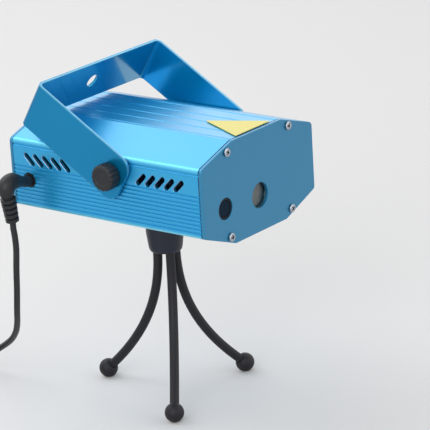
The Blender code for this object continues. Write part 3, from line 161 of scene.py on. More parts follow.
class Paint(Board):
    """One material round its Principled shader, kept under its name in made."""

    made = {}

    def __init__(self, name, colour, **sockets):
        self.made[name] = self
        self.material = bpy.data.materials.new(name)
        self.material.use_nodes = True
        super().__init__(self.material.node_tree)
        self.shader = self.tree.nodes["Principled BSDF"]
        self.set(Base_Color=(*colour, 1), **sockets)
        self.material.diffuse_color = (*colour, 1)

    def set(self, **sockets):
        for name, value in sockets.items():
            self.feed(self.shader.inputs[name.replace("_", " ")], value)
        return self

    def place(self):
        """X, Y and Z of the spot on the object, as three wires."""
        spot = self.node("ShaderNodeTexCoord", output="Object")
        split = self.node("ShaderNodeSeparateXYZ", inputs={0: spot})
        return [Wire(self, socket) for socket in split.socket.node.outputs]

    def grain(self, scale, stretch=(1, 1, 1), detail=3.0):
        """Noise of scale blobs a metre; a stretch below 1 draws it out along that axis."""
        spot = self.node("ShaderNodeTexCoord", output="Object")
        drawn = self.node("ShaderNodeMapping", inputs={"Vector": spot, "Scale": stretch})
        sizes = {"Vector": drawn, "Scale": scale, "Detail": detail}
        return self.node("ShaderNodeTexNoise", inputs=sizes)

    def blend(self, share, first, second):
        """A colour between two, by share. The first may be such a blend itself."""
        first = first if isinstance(first, Wire) else (*first, 1)
        mixed = {0: share, 6: first, 7: (*second, 1)}
        return self.node("ShaderNodeMix", {"data_type": "RGBA"}, mixed, 2)

    def bump(self, height, distance):
        """Tilts the surface by the slope of height, in metres of distance."""
        sizes = {"Height": height, "Distance": distance}
        return self.set(Normal=self.node("ShaderNodeBump", inputs=sizes))


def shade(red, green, blue):
    """Screen values from 0 to 255 as the linear numbers that a shader takes."""
    share = np.array([red, green, blue]) / 255
    linear = np.where(share <= 0.04045, share / 12.92, ((share + 0.055) / 1.055) ** 2.4)
    return tuple(linear.tolist())


# %% [markdown]
# The housing and the bracket are anodised aluminium: metal under a thin dyed
# skin. Some light comes back as from metal, in the dye's colour, some is
# scattered in the skin, and the skin's clear outside adds a pale gloss. So the
# shader is mostly metal, under a coat. The die that shapes an extrusion leaves
# faint lines along it.

# %% Blue metal
DYED, DYED_STRIP = shade(34, 164, 218), shade(2, 130, 181)
STREAKS, CLOUDS = 5200.0, 60.0  # blobs a metre


def anodised(name, colour, roughness, lines, gloss):
    """Dyed metal, lined along the axes where lines is small, unevenly rough about a mean."""
    paint = Paint(name, colour, Metallic=0.6, Coat_Weight=gloss, Coat_Roughness=0.22)
    streaks = paint.grain(STREAKS, lines, 2.0)
    cloud = paint.grain(CLOUDS, detail=4.0)
    paint.set(Roughness=streaks * 0.10 + cloud * 0.08 + (roughness - 0.09))
    return paint.bump(streaks, 0.00001)


HOUSING_BLUE = anodised("housing_blue", DYED, 0.34, (1, 0.004, 1), 0.5)
PLATE_BLUE = anodised("plate_blue", shade(26, 128, 172), 0.38, (1, 1, 1), 0.6)
BRACKET_BLUE = anodised("bracket_blue", DYED_STRIP, 0.20, (0.02, 1, 1), 0.0)

# %% [markdown]
# The dark pieces are of three kinds: moulded plastic for the knobs and the
# tripod head, rubber for the legs and feet, and soft vinyl for the lead. Their
# highlights differ in sharpness, so roughness and a fine grain set them apart.

# %% Dark plastic, rubber and vinyl
def moulded(name, colour, roughness, grain_size, depth):
    """Plastic or rubber whose skin has grain as fine as grain_size metres."""
    paint = Paint(name, colour, Specular_IOR_Level=0.35)
    grain = paint.grain(1 / grain_size, detail=2.0)
    wear = paint.grain(90.0)
    paint.set(Roughness=wear * 0.12 + (roughness - 0.06))
    return paint.bump(grain, depth)


BLACK_PLASTIC = moulded("black_plastic", shade(32, 35, 39), 0.46, 0.0005, 0.00002)
HEAD_PLASTIC = moulded("head_plastic", shade(28, 33, 46), 0.42, 0.0006, 0.00002)
BLACK_RUBBER = moulded("black_rubber", shade(24, 23, 28), 0.55, 0.0004, 0.00003)
CORD_BLACK = moulded("cord_black", shade(34, 36, 38), 0.42, 0.0008, 0.00001)
moulded("grey_plastic", shade(84, 86, 90), 0.5, 0.0005, 0.00002)
moulded("white_plastic", shade(226, 226, 220), 0.45, 0.0005, 0.00001)

# %% Bright metal
def turned_metal(name, colour, roughness):
    """Bare metal with faint clouding."""
    paint = Paint(name, colour, Metallic=1.0)
    return paint.set(Roughness=paint.grain(700.0) * 0.12 + (roughness - 0.06))


PLATED, STEEL = shade(176, 182, 190), shade(200, 202, 206)
SCREW_STEEL = turned_metal("screw_steel", PLATED, 0.24)
# cross: painted shade in the recess of each screw head's cross, kept on the mesh
cross = SCREW_STEEL.node("ShaderNodeAttribute", {"attribute_name": "cross"}, output="Fac")
SCREW_STEEL.set(Base_Color=SCREW_STEEL.blend(cross, PLATED, shade(22, 26, 32)))
turned_metal("inner_steel", STEEL, 0.28)
turned_metal("brass", shade(212, 172, 92), 0.30)
turned_metal("block_aluminium", shade(216, 218, 222), 0.36)

# %% [markdown]
# Glass and clear film let light through: their colour is nearly white, and their
# transmission does the work. The board and the decal are plain colours with a
# thin gloss. The microphone is a steel can with dark felt on its mouth.

# %% Clear, green and yellow
Paint("window_glass", (0.93, 0.97, 0.96), Roughness=0.03, Transmission_Weight=1.0, IOR=1.46)
Paint("film_clear", (0.86, 0.93, 0.96), Roughness=0.08, Transmission_Weight=0.85, IOR=1.4)
Paint("board_green", shade(24, 92, 52), Roughness=0.32)
DECAL_YELLOW = Paint("decal_yellow", shade(228, 216, 108), Roughness=0.38)
FELT_DEPTH = 0.0014  # of the back of the felt, behind the plate's outer face
CAPSULE = turned_metal("felted_capsule", STEEL, 0.28)
felt = CAPSULE.place()[1].below(FRONT_Y + FELT_DEPTH, 0.0001)
CAPSULE.set(Base_Color=CAPSULE.blend(felt, STEEL, shade(10, 34, 52)))
CAPSULE.set(Metallic=1 - felt, Specular_IOR_Level=0.05)

# %% Every solid gets its slot's finish
slots = {part["node"]: part["material_slot"] for part in frame["record"]["subparts"]}
for name, solid in nodes.items():
    finish = Paint.made["felted_capsule" if name == "microphone_capsule" else slots[name]].material
    if not solid.material_slots:
        solid.data.materials.append(finish)
    for slot in solid.material_slots:
        slot.material = finish
print("finished", len(slots), "solids")

# %% [markdown]
# The lead is a fixed length of something flexible. Its free run follows listed
# points. The Catmull-Rom formula goes through every point and is easy to read at
# even steps. A Bezier curve's length is harder to know.

# %% A smooth line through points
def columns(*parts):
    """Lists side by side as the columns of a table; a single number is repeated."""
    return np.stack(np.broadcast_arrays(*parts), -1)


def polar(radius, angle, height):
    """Points at a radius, an angle and a height about the Z axis."""
    return columns(radius * np.cos(angle), radius * np.sin(angle), height)


def walk_along(line):
    """The distance walked along a line at each of its points."""
    steps = np.linalg.norm(np.diff(line, axis=0), axis=1)
    return np.concatenate([[0.0], np.cumsum(steps)])


def even_steps(line, spacing):
    """The same line, with points at even distances."""
    walked = walk_along(line)
    marks = np.linspace(0, walked[-1], max(2, round(walked[-1] / spacing)) + 1)
    return columns(*(np.interp(marks, walked, column) for column in line.T))


def smooth_line(route, spacing):
    """A Catmull-Rom curve through the route, read at even steps of about spacing.

    Between two points the place is a cubic in t. Its slope at each point is half
    of the step from the point before to the point after.
    """
    route = np.asarray(route, float)
    knots = np.vstack([2 * route[0] - route[1], route, 2 * route[-1] - route[-2]])
    before, here, there, after = (knots[k : len(knots) - 3 + k, None] for k in range(4))
    t = np.linspace(0, 1, 32, endpoint=False)[None, :, None]
    line = here + (there - before) * t / 2
    line = line + (2 * before - 5 * here + 4 * there - after) * t**2 / 2
    line = line + (3 * here - before - 3 * there + after) * t**3 / 2
    return even_steps(np.vstack([line.reshape(-1, 3), route[-1:]]), spacing)


# %% [markdown]
# The spare length lies in a neat coil of two layers beside the wall adapter,
# outside the picture. One formula gives all its turns: the radius falls by one
# pitch a turn, the cord climbs to the second layer in half a turn, and the
# radius grows again.

# %% The coil of spare length
CORD_RADIUS = 0.00165
PITCH = 2 * CORD_RADIUS + 0.00055
COIL_RADIUS = 0.0243
COIL_TURNS = 3
CLIMB_DIP = 0.0013  # how far the climb goes inside the innermost turn
COIL_CENTRE = (-0.0565, 0.1210, 0)


def coil(points_a_turn):
    """Three turns inwards on the floor, half a turn up, three turns outwards on top."""
    layer = math.sqrt(PITCH**2 - (PITCH / 4) ** 2)
    count = 2 * COIL_TURNS + 0.5
    turns = np.linspace(0, count, round(count * points_a_turn) + 1)
    climb = np.clip((turns - COIL_TURNS) / 0.5, 0, 1)
    away = np.maximum(abs(turns - count / 2) - 0.25, 0)  # turns before or after the climb
    radius = COIL_RADIUS - PITCH * (COIL_TURNS - away) - CLIMB_DIP * np.sin(np.pi * climb)
    height = CORD_RADIUS + layer * (1 - np.cos(np.pi * climb)) / 2
    return polar(radius, 2 * np.pi * turns, height) + COIL_CENTRE


# %% The route of the lead
RELIEF_END = np.array([-0.0609, 0.04505, 0.1031])
ADAPTER_SOCKET = np.array([-0.1030, 0.0844, 0.0085])
LEAD_ROUTE = [  # the two routes are in mm
    (-60.6, 44.7, 94.7), (-60.1, 45.0, 87.7), (-59.1, 47.0, 76.2), (-56.5, 50.2, 64.0),
    (-51.9, 55.6, 50.5), (-47.5, 60.3, 41.6), (-43.1, 65.8, 34.1), (-39.2, 72.4, 27.6),
    (-36.0, 79.7, 22.2), (-33.6, 88.0, 16.8), (-32.5, 97.0, 10.7), (-32.2, 106.0, 5.5),
    (-32.2, 113.5, 2.6),
]
TAIL_ROUTE = [
    (-80.5, 110.0, 4.8), (-79.1, 102.0, 3.4), (-77.6, 94.0, 2.2), (-77.2, 86.0, 1.7),
    (-78.8, 78.5, 1.7), (-83.2, 72.9, 1.7), (-90.0, 70.6, 2.1), (-96.8, 72.7, 4.0),
    (-101.3, 76.5, 6.8),
]
STRAIGHT = 2 * CORD_RADIUS  # each end leaves straight for this length


def free_run(start, leaving, route, end, arriving):
    """A smooth run between two ends, each straight for one cord diameter."""
    knots = [start + leaving * STRAIGHT, *np.array(route) / 1000, end - arriving * STRAIGHT]
    return np.vstack([start, smooth_line(knots, 0.002), end])


def unit(vector):
    """The same direction, or directions, with a length of one."""
    vector = np.asarray(vector, float)
    return vector / np.linalg.norm(vector, axis=-1, keepdims=True)


turns = coil(48)
entering, leaving = unit(turns[1] - turns[0]), unit(turns[-1] - turns[-2])
down = np.array([0.0, 0.0, -1.0])
lead_start = RELIEF_END + 0.0003 * down  # clear of the plug
run = free_run(lead_start, down, LEAD_ROUTE, turns[0] - entering * STRAIGHT, entering)
tail_start = turns[-1] + leaving * STRAIGHT
tail = free_run(tail_start, leaving, TAIL_ROUTE, ADAPTER_SOCKET, np.array([0.0, 1.0, 0.0]))
lead_line = np.vstack([run, turns, tail])

# %% The lead
lead_curve = bpy.data.curves.new("power_lead", "CURVE")
lead_curve.dimensions = "3D"
lead_curve.bevel_depth = CORD_RADIUS
lead_curve.bevel_resolution = 4
lead_curve.use_fill_caps = True
lead_curve.twist_mode = "MINIMUM"
spline = lead_curve.splines.new("POLY")
spline.points.add(len(lead_line) - 1)
spline.points.foreach_set("co", columns(*lead_line.T, 1).ravel())
spline.use_smooth = True
lead_curve.materials.append(CORD_BLACK.material)
lead = add_object("power_lead", lead_curve)
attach(lead, "housing")
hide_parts("power_cord_run", "power_cord_coil", "power_cord_tail")

# %% [markdown]
# The new pieces are surfaces on a grid: rows of points, each a ring round the
# piece. One function makes a mesh of any stack of such grids, closes it, merges
# the doubles at poles and seams, and points every face outwards. Points typed
# by hand would do for a box, but not for a ribbed tube.

# %% From grids of points to a mesh
def skin(name, *stacks, looped=False, smooth=30):
    """A closed mesh over grids of shape rows x points x 3, or stacks of such grids.

    Each row is a closed ring. The first and the last get a flat cap, unless the
    rows themselves close to a loop. Edges sharper than smooth degrees stay sharp.
    """
    points, faces, count = [], [], 0
    for stack in stacks:
        stack = np.asarray(stack, float)
        stack = stack.reshape(-1, *stack.shape[-3:])
        rows = count + np.arange(stack[..., 0].size).reshape(stack.shape[:3])
        caps = [] if looped else rows[:, 0, ::-1].tolist() + rows[:, -1].tolist()
        if looped:
            rows = np.append(rows, rows[:, :1], 1)
        rows = np.append(rows, rows[:, :, :1], 2)
        quads = [rows[:, :-1, :-1], rows[:, :-1, 1:], rows[:, 1:, 1:], rows[:, 1:, :-1]]
        faces += np.stack(quads, -1).reshape(-1, 4).tolist() + caps
        points.append(stack.reshape(-1, 3))
        count += len(points[-1])
    mesh = bpy.data.meshes.new(name)
    mesh.from_pydata(np.concatenate(points).tolist(), [], faces)
    work = bmesh.new()
    work.from_mesh(mesh)
    bmesh.ops.remove_doubles(work, verts=work.verts, dist=2e-7)
    bmesh.ops.recalc_face_normals(work, faces=work.faces)
    work.to_mesh(mesh)
    work.free()
    mesh.shade_smooth()
    mesh.set_sharp_from_angle(angle=math.radians(smooth))
    return mesh


def piece(mesh, paint, body, slot, *stands_for, even=False):
    """An object for a finished mesh, on its body, in place of its CAD solids.

    Even shades each face by its own size, which a cut mesh needs to look flat.
    """
    mesh.materials.clear()
    mesh.materials.append(paint.material)
    made = add_object(mesh.name, mesh)
    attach(made, body)
    if stands_for:
        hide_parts(*stands_for)
    if even:
        made.modifiers.new("even shading", "WEIGHTED_NORMAL").keep_sharp = True
    return made


def cut(mesh, *holes, smooth=30):
    """The mesh less the holes, worked out once by an exact Boolean.

    A hole is a tuple of grids, which are taken away together.
    """
    carved = add_object("carved", mesh)
    tools = [add_object("cutter", skin("cutter", *hole)) for hole in holes]
    for tool in tools:
        boolean = carved.modifiers.new("cut", "BOOLEAN")
        boolean.operation, boolean.object, boolean.solver = "DIFFERENCE", tool, "EXACT"
    graph = bpy.context.evaluated_depsgraph_get()
    result = bpy.data.meshes.new_from_object(carved.evaluated_get(graph))
    name = mesh.name
    bpy.data.batch_remove([carved, mesh, *tools, *(tool.data for tool in tools)])
    result.name = name
    result.shade_smooth()
    result.set_sharp_from_angle(angle=math.radians(smooth))
    return result


# %% [markdown]
# No real corner is quite sharp. A short curve at each corner of an outline
# catches the light as a worn or moulded edge does. One function serves lathe
# profiles, which are open lines, and cross-sections, which are closed.

# %% Soft corners
def soften(corners, reach, steps=4, closed=False):
    """Replaces each corner of a line by a quadratic curve that starts reach before it.

    The curve from a to c round the corner b is (1-t)^2 a + 2t(1-t) b + t^2 c.
    """
    corners = np.asarray(corners, float)[:, None]
    reach = np.broadcast_to(reach, len(corners))[:, None, None]

    def towards(neighbour):
        side = neighbour - corners
        length = np.linalg.norm(side, axis=2, keepdims=True)
        return corners + side / length * np.minimum(reach, 0.46 * length)

    a, c = towards(np.roll(corners, 1, 0)), towards(np.roll(corners, -1, 0))
    t = np.linspace(0, 1, steps + 1)[None, :, None]
    curves = (1 - t) ** 2 * a + 2 * t * (1 - t) * corners + t**2 * c
    if closed:
        return curves.reshape(-1, 2)
    return np.vstack([corners[0], curves[1:-1].reshape(-1, 2), corners[-1]])


# %% Which way a shape faces
FACING = {  # where a shape's own X, Y and Z go
    "up": [(1, 0, 0), (0, 1, 0), (0, 0, 1)],
    "front": [(1, 0, 0), (0, 0, 1), (0, -1, 0)],
    "rear": [(1, 0, 0), (0, 0, -1), (0, 1, 0)],
    "left": [(0, 0, 1), (0, 1, 0), (-1, 0, 0)],
    "right": [(0, 0, -1), (0, 1, 0), (1, 0, 0)],
}


def stand(points, place, facing="up"):
    """Turns points built along +Z the way they face, and puts them in place."""
    return np.asarray(points) @ FACING[facing] + place


# %% Turned shapes
def lathe(profile, steps=64, flutes=0, depth=0.0):
    """A profile of (radius, height) carried round the Z axis.

    The radius may be drawn in by depth times a wave with the given number of
    flutes; depth may differ from one point of the profile to the next.
    """
    profile = np.asarray(profile, float)
    angle = np.linspace(0, 2 * np.pi, steps, endpoint=False)
    wave = (1 - np.cos(flutes * angle)) / 2
    radius = profile[:, :1] - np.broadcast_to(depth, len(profile))[:, None] * wave**2
    return polar(radius, angle, profile[:, 1:2])


# %% [markdown]
# The housing is an extrusion: one eight-sided section drawn out along its
# length. Ten fine grooves and one wide one run along each upright side, and
# five along the top and the bottom. A groove is half an ellipse.

# %% The section's corners
MIDDLE_Y, MIDDLE_Z = (FRONT_Y + REAR_Y) / 2, 0.1238
HALF_WIDTH, HALF_HEIGHT = 0.046, 0.0263
SIDE_TOP, SIDE_BOTTOM = 0.018, -0.017
TOP_EDGE, BOTTOM_EDGE = 0.0202, 0.0212
right = [
    (BOTTOM_EDGE, -HALF_HEIGHT), (HALF_WIDTH, SIDE_BOTTOM), (HALF_WIDTH, SIDE_TOP),
    (TOP_EDGE, HALF_HEIGHT),
]
mirrored = [(-x, z) for x, z in right]
SECTION = np.array([mirrored[0], *right, *mirrored[:0:-1]])
CORNER_REACH = np.array([0.00028, 0.00028, 0.0014, 0.0023, 0.00024, 0.00024, 0.0023, 0.0014])


def edge_normals(corners):
    """The outward direction of each side of an anticlockwise outline, and its distance out."""
    along = unit(np.roll(corners, -1, 0) - corners)
    normals = columns(along[:, 1], -along[:, 0])
    return normals, np.sum(normals * corners, axis=1)


def inset_section(inset):
    """The section's corners with every side moved inwards by inset.

    Each corner solves two straight lines: the side before it and the side after it.
    """
    normals, reach = edge_normals(SECTION)
    pairs = np.stack([np.roll(normals, 1, 0), normals], 1)
    distances = columns(np.roll(reach, 1), reach)[..., None] - inset
    return np.linalg.solve(pairs, distances)[..., 0]


# %% The section with its grooves
SIDE_GROOVE, FLAT_GROOVE = 0.0006, 0.00025  # depths
FINE_WIDTH, WIDE_WIDTH, FLAT_WIDTH = 0.0009, 0.0014, 0.0012
FINE_COUNT, FINE_PITCH = 10, 0.00205
HIGHEST_FINE, WIDE_PLACE = 0.0042, 0.0149  # above the section's middle
FLAT_COUNT, FLAT_SPREAD = 5, 0.911  # the outermost, as a share of half the flat


def grooved(side, places, width, depth):
    """Points that dip half an ellipse into one side of the section at each place."""
    start, end = SECTION[side], SECTION[(side + 1) % len(SECTION)]
    along = unit(end - start)
    inwards = np.array([-along[1], along[0]])
    angle = np.linspace(0, np.pi, 9)[None, :, None]
    dip = -np.cos(angle) * np.broadcast_to(width, len(places))[:, None, None] / 2 * along
    dip = dip + np.sin(angle) * depth * inwards
    return (places[:, None] + dip).reshape(-1, 2)


def section_ring():
    """The whole outside: a soft corner, then the grooves of the side after it."""
    arcs = soften(SECTION, CORNER_REACH, 7, closed=True).reshape(len(SECTION), -1, 2)
    heights = np.append(HIGHEST_FINE - FINE_PITCH * np.arange(FINE_COUNT)[::-1], WIDE_PLACE)
    widths = [FINE_WIDTH] * FINE_COUNT + [WIDE_WIDTH]
    right = grooved(2, columns(HALF_WIDTH, heights), widths, SIDE_GROOVE)
    left = (right * (-1, 1))[::-1]
    shares = np.linspace(-FLAT_SPREAD, FLAT_SPREAD, FLAT_COUNT)
    low = grooved(0, columns(shares * BOTTOM_EDGE, -HALF_HEIGHT), FLAT_WIDTH, FLAT_GROOVE)
    high = grooved(4, columns(-shares * TOP_EDGE, HALF_HEIGHT), FLAT_WIDTH, FLAT_GROOVE)
    return np.vstack([arcs[0], low, *arcs[1:3], right, *arcs[3:5], high, *arcs[5:7], left, arcs[7]])


# %% The tube and its screw ports
SHELL_WALL = 0.0019
PLATE, PLATE_GAP = 0.0018, 0.0003
SHELL_FRONT, SHELL_REAR = FRONT_Y + PLATE + PLATE_GAP, REAR_Y - PLATE - PLATE_GAP
PORT_RADIUS, SCREW_BORE = 0.00275, 0.00155
SCREW_X = 0.0253
SCREW_HEIGHTS = (-0.02174, 0.0217)
PORTS = np.array([(side * SCREW_X, z) for side in (-1, 1) for z in SCREW_HEIGHTS])


def along_y(ring, y):
    """A ring of (x, z about mid height) as points at one place along the housing."""
    return columns(ring[:, 0], y, ring[:, 1] + MIDDLE_Z)


def towards_middle(ring, inset):
    """Where the ray from the middle to each point meets the section drawn in by inset.

    The distance along the ray is the least of a side's distance over the cosine of
    the angle between the ray and that side's direction. A side that the ray hardly
    faces counts as a metre away.
    """
    normals, reach = edge_normals(SECTION)
    rays = unit(ring)
    facing, least = rays @ normals.T, 0.05
    distances = np.where(facing > least, (reach - inset) / np.maximum(facing, least), 1.0)
    return rays * distances.min(axis=1, keepdims=True)


outside = section_ring()
inside = towards_middle(outside, SHELL_WALL)
ends = (SHELL_FRONT, SHELL_REAR)
tube = [along_y(outside, y) for y in ends] + [along_y(inside, y) for y in ends[::-1]]
port_rings = [
    (PORT_RADIUS, -SHELL_FRONT), (PORT_RADIUS, -SHELL_REAR), (SCREW_BORE, -SHELL_REAR),
    (SCREW_BORE, -SHELL_FRONT),
]
port = stand(lathe(port_rings, 24), (0, 0, MIDDLE_Z), "front")
ports = port + columns(PORTS[:, 0], 0, PORTS[:, 1])[:, None, None]
shell_mesh = skin("ribbed_housing", tube, ports, looped=True)
print("housing section:", len(outside), "points")

# %% [markdown]
# Two groups of five slots let warm air out of each side. They lean away from
# the knob and have round ends and a slightly broken edge. They are cut out of
# the tube, because painted slots would show no thickness.

# %% Cutters for the air slots
CHAMFER = 0.00022
FLARE_OUT = 0.0010  # how far past a face its flare goes on
FLARE = [(-0.006, 0.0), (-CHAMFER, 0.0), (FLARE_OUT, CHAMFER + FLARE_OUT)]  # (level, growth)
SLOT_LENGTH, SLOT_WIDTH, SLOT_PITCH = 0.0056, 0.0027, 0.0059
SLOT_LEAN, SLOT_RISE = math.radians(45), 0.0080
GROUP_OUT, GROUP_SHIFT = 0.0362, 0.0010  # of a group's middle, from the housing's


def slot_outline(grow, steps=9):
    """A slot's outline: two half circles a slot length apart, grown outwards by grow."""
    half = np.linspace(0, np.pi, steps)
    angle, end = np.append(half, half + np.pi), np.repeat([0.5, -0.5], steps) * SLOT_LENGTH
    radius = SLOT_WIDTH / 2 + grow
    return columns(radius * np.cos(angle), end + radius * np.sin(angle))


def vent_cutters():
    """Slots as (x across, y along the slot, z outwards), leaned and put on each side."""
    slot = [columns(*slot_outline(grow).T, z) for z, grow in FLARE]
    across, up, out = np.moveaxis(slot, -1, 0)
    stacks = []
    for side in (-1, 1):
        for end in (-1, 1):
            lean = end * SLOT_LEAN
            centre = MIDDLE_Y + GROUP_SHIFT + end * GROUP_OUT + SLOT_PITCH * (np.arange(5) - 2)
            y = centre[:, None, None] + across * math.cos(lean) + up * math.sin(lean)
            z = MIDDLE_Z + SLOT_RISE + up * math.cos(lean) - across * math.sin(lean)
            stacks.append(columns(side * (HALF_WIDTH + out), y, z))
    return np.concatenate(stacks)


def round_cutter(radius, place, facing, steps=40):
    """A round hole whose mouth is flared by the chamfer, at a face, facing outwards."""
    return stand(lathe([(radius + grow, z) for z, grow in FLARE], steps), place, facing)


# %% The housing
PIVOT_Y, PIVOT_Z, PIVOT_HOLE = -0.01145, 0.1326, 0.0023
JACK = (-HALF_WIDTH, 0.04505, 0.1208)
TRIPOD_Y, TRIPOD_HOLE = -0.00365, 0.0034
shell_holes = (
    vent_cutters(),
    round_cutter(PIVOT_HOLE, (-HALF_WIDTH, PIVOT_Y, PIVOT_Z), "left"),
    round_cutter(PIVOT_HOLE, (HALF_WIDTH, PIVOT_Y, PIVOT_Z), "right"),
    round_cutter(0.0039, JACK, "left"),
    stand(lathe([(TRIPOD_HOLE, 0.0935), (TRIPOD_HOLE, 0.1010)], 40), (0, TRIPOD_Y, 0)),
)
shell_mesh = cut(shell_mesh, shell_holes)

# %% Painted highlights on its long corners, and its bare slot rims
# Painted highlight: a pale colour near the long corners. Bare: just inside the side face, level with the
# slots.
x, _, height = HOUSING_BLUE.place()
side = abs(x) - HALF_WIDTH
up, down = height - (MIDDLE_Z + SIDE_TOP), height - (MIDDLE_Z + SIDE_BOTTOM)
# corner and lip: masks for the pale colour painted along the upper and lower long corners, a painted
# highlight
corner = (side * side + up * up).root().below(0.0014, 0.0010)
lip_highlight = (side * side + down * down).root().below(0.0010, 0.0008)
edge_highlight = HOUSING_BLUE.blend(corner * 0.6 + lip_highlight, DYED, shade(110, 210, 240))
sunk = side.above(-0.0007, 0.0002) * side.below(-0.00011, 0.00008)
level = height.above(MIDDLE_Z + 0.0052, 0.0002) * height.below(MIDDLE_Z + 0.0140, 0.0002)
HOUSING_BLUE.set(Base_Color=HOUSING_BLUE.blend(sunk * level, edge_highlight, shade(170, 186, 212)))
housing = piece(shell_mesh, HOUSING_BLUE, "housing", "housing_blue", "housing_shell", even=True)
print("housing:", len(housing.data.polygons), "faces")

# %% [markdown]
# A flat plate closes each end. It has the section's outline without its
# grooves, a rounded rim all round, and holes for four screws. The front one
# also has the light opening and a small round hole for the microphone.

# %% The end plates
RIM = 0.0004


def rounded_rims(low, high, rim_low, rim_high, steps):
    """(inset, height) up a wall from low to high, whose two rims are quarter circles.

    At an angle t up a rim of radius r the inset is r (1 - sin t), the height r (1 - cos t).
    """
    t = np.linspace(0, np.pi / 2, steps)
    up = columns(rim_low * (1 - np.sin(t)), low + rim_low * (1 - np.cos(t)))
    down = columns(rim_high * (1 - np.sin(t)), high - rim_high * (1 - np.cos(t)))
    return np.vstack([up, down[::-1]])


def end_plate(word, y, inwards, *openings):
    """The section's outline from the outer face at y through the thickness, less the holes."""
    rings = []
    for inset, depth in rounded_rims(0, PLATE, RIM, RIM, 5):
        reach = np.maximum(CORNER_REACH - inset, 0.0001)
        ring = soften(inset_section(inset), reach, 7, closed=True)
        rings.append(along_y(ring, y + inwards * depth))
    screws = [round_cutter(SCREW_BORE, (x, y, MIDDLE_Z + z), word, 20) for x, z in PORTS]
    mesh = cut(skin(f"{word}_plate_sheet", rings), *[(hole,) for hole in (*screws, *openings)])
    piece(mesh, PLATE_BLUE, "housing", "plate_blue", f"{word}_plate", even=True)


light_opening = round_cutter(0.0065, (0.0, FRONT_Y, 0.1163), "front", 64)
microphone_hole = round_cutter(0.0055, (-0.0282, FRONT_Y, 0.1174), "front", 56)
end_plate("front", FRONT_Y, 1, light_opening, microphone_hole)

# %% The rear plate, with its control holes
DIAL = (0.0150, REAR_Y, 0.1218)
SWITCH = (-0.0150, REAR_Y, 0.1218)


def box_ring(half_x, half_y, reach, steps=4):
    """A rectangle about the origin with soft corners."""
    corners = [(-half_x, -half_y), (half_x, -half_y), (half_x, half_y), (-half_x, half_y)]
    return soften(corners, reach, steps, closed=True)


slit = [columns(*box_ring(0.0041 + grow, 0.0019 + grow, 0.0003 + grow).T, z) for z, grow in FLARE]
end_plate("rear", REAR_Y, -1, round_cutter(0.00415, DIAL, "rear"), stand(slit, SWITCH, "rear"))

# %% [markdown]
# Eight pan-head screws hold the plates. Each head is a low dome with a cross
# pressed into it: a dent in the dome's height near either arm's middle line,
# and not a separate cut. The same measure, kept with each point, darkens it as painted shade.

# %% A screw
HEAD_RADIUS, DOME_RADIUS, SHANK_RADIUS = 0.0022, 0.0018, 0.0013
HEAD_BASE, DOME_BASE, DOME_RISE = 0.0003, 0.00125, 0.00015
ARM_HALF_WIDTH, ARM_REACH, CROSS_DEPTH = 0.00036, 0.00145, 0.0007


def cross_share(x, y, z):
    """1 in the cross of the head, which has two arms, and 0 outside it."""
    arms = [
        np.clip((ARM_HALF_WIDTH - abs(a)) / 0.00012, 0, 1)
        * np.clip((ARM_REACH - abs(b)) / 0.0003, 0, 1)
        for a, b in ((x, y), (y, x))
    ]
    return np.maximum(*arms) * (z > 0)


def screw():
    """Shank, then the underside, rim and dome of the head, on a polar grid."""
    tip = [(0.0001, -0.008), (0.0009, -0.008), (SHANK_RADIUS, -0.0075), (SHANK_RADIUS, HEAD_BASE)]
    head = [
        (SHANK_RADIUS, HEAD_BASE), (HEAD_RADIUS, HEAD_BASE), (HEAD_RADIUS, 0.0009),
        (DOME_RADIUS, DOME_BASE),
    ]
    share = np.linspace(1, 0, 26)[1:]
    dome = columns(DOME_RADIUS * share, DOME_BASE + DOME_RISE * (1 - share**2))
    profile = np.vstack([soften(tip, 0.0001), soften(head, 0.0002)[1:], dome])
    x, y, z = np.moveaxis(lathe(profile, 72), -1, 0)
    return columns(x, y, z - CROSS_DEPTH * cross_share(x, y, z - 0.0012))


def paint_cross_shade(mesh, turn, place, facing):
    """Writes the cross's painted shade on the mesh, from each point's place on the upright screw."""
    points = np.empty(3 * len(mesh.vertices))
    mesh.vertices.foreach_get("co", points)
    upright = (points.reshape(-1, 3) - place) @ np.transpose(FACING[facing]) @ turn.T
    share = cross_share(*upright.T)
    mesh.attributes.new("cross", "FLOAT", "POINT").data.foreach_set("value", share)


screw_grid = screw()
spin = {1: 0.2, 2: 0.9, 3: 0.55, 4: 1.3}  # how far each screw happens to be turned
for end, plane in (("front", FRONT_Y), ("rear", REAR_Y)):
    for number, (x, z) in enumerate(PORTS, 1):
        c, s = math.cos(spin[number]), math.sin(spin[number])
        turn = np.array([[c, s, 0], [-s, c, 0], [0, 0, 1]])
        place = (x, plane, MIDDLE_Z + z)
        mesh = skin(f"{end}_pan_screw_{number}", stand(screw_grid @ turn, place, end), smooth=40)
        paint_cross_shade(mesh, turn, place, end)
        piece(mesh, SCREW_STEEL, "housing", "screw_steel", f"{end}_screw_{number}")

# %% [markdown]
# The hanging bracket is one strip of sheet metal, bent to a U. A small rounded
# rectangle is carried along the U, and gets narrower near the ends, so the
# strip's corners come out round. Its rims are slightly soft, because a punched
# strip is tumbled. That rim is the bright line in the photograph, and a pale
# colour painted along it is a painted highlight. The inside is glossier than the
# outside, so it shows the arms' reflections, and its colour is painted lighter.

# %% The strip's path
STRIP_WIDTH, STRIP, REACH, STRIP_END = 0.0256, 0.0015, 0.0591, 0.0083
ARM_INNER, STRIP_CORNER = 0.0471, 0.0065
ARM_X = ARM_INNER + STRIP / 2
BEND = 0.0022 + STRIP / 2
TILT = math.radians(59.0)


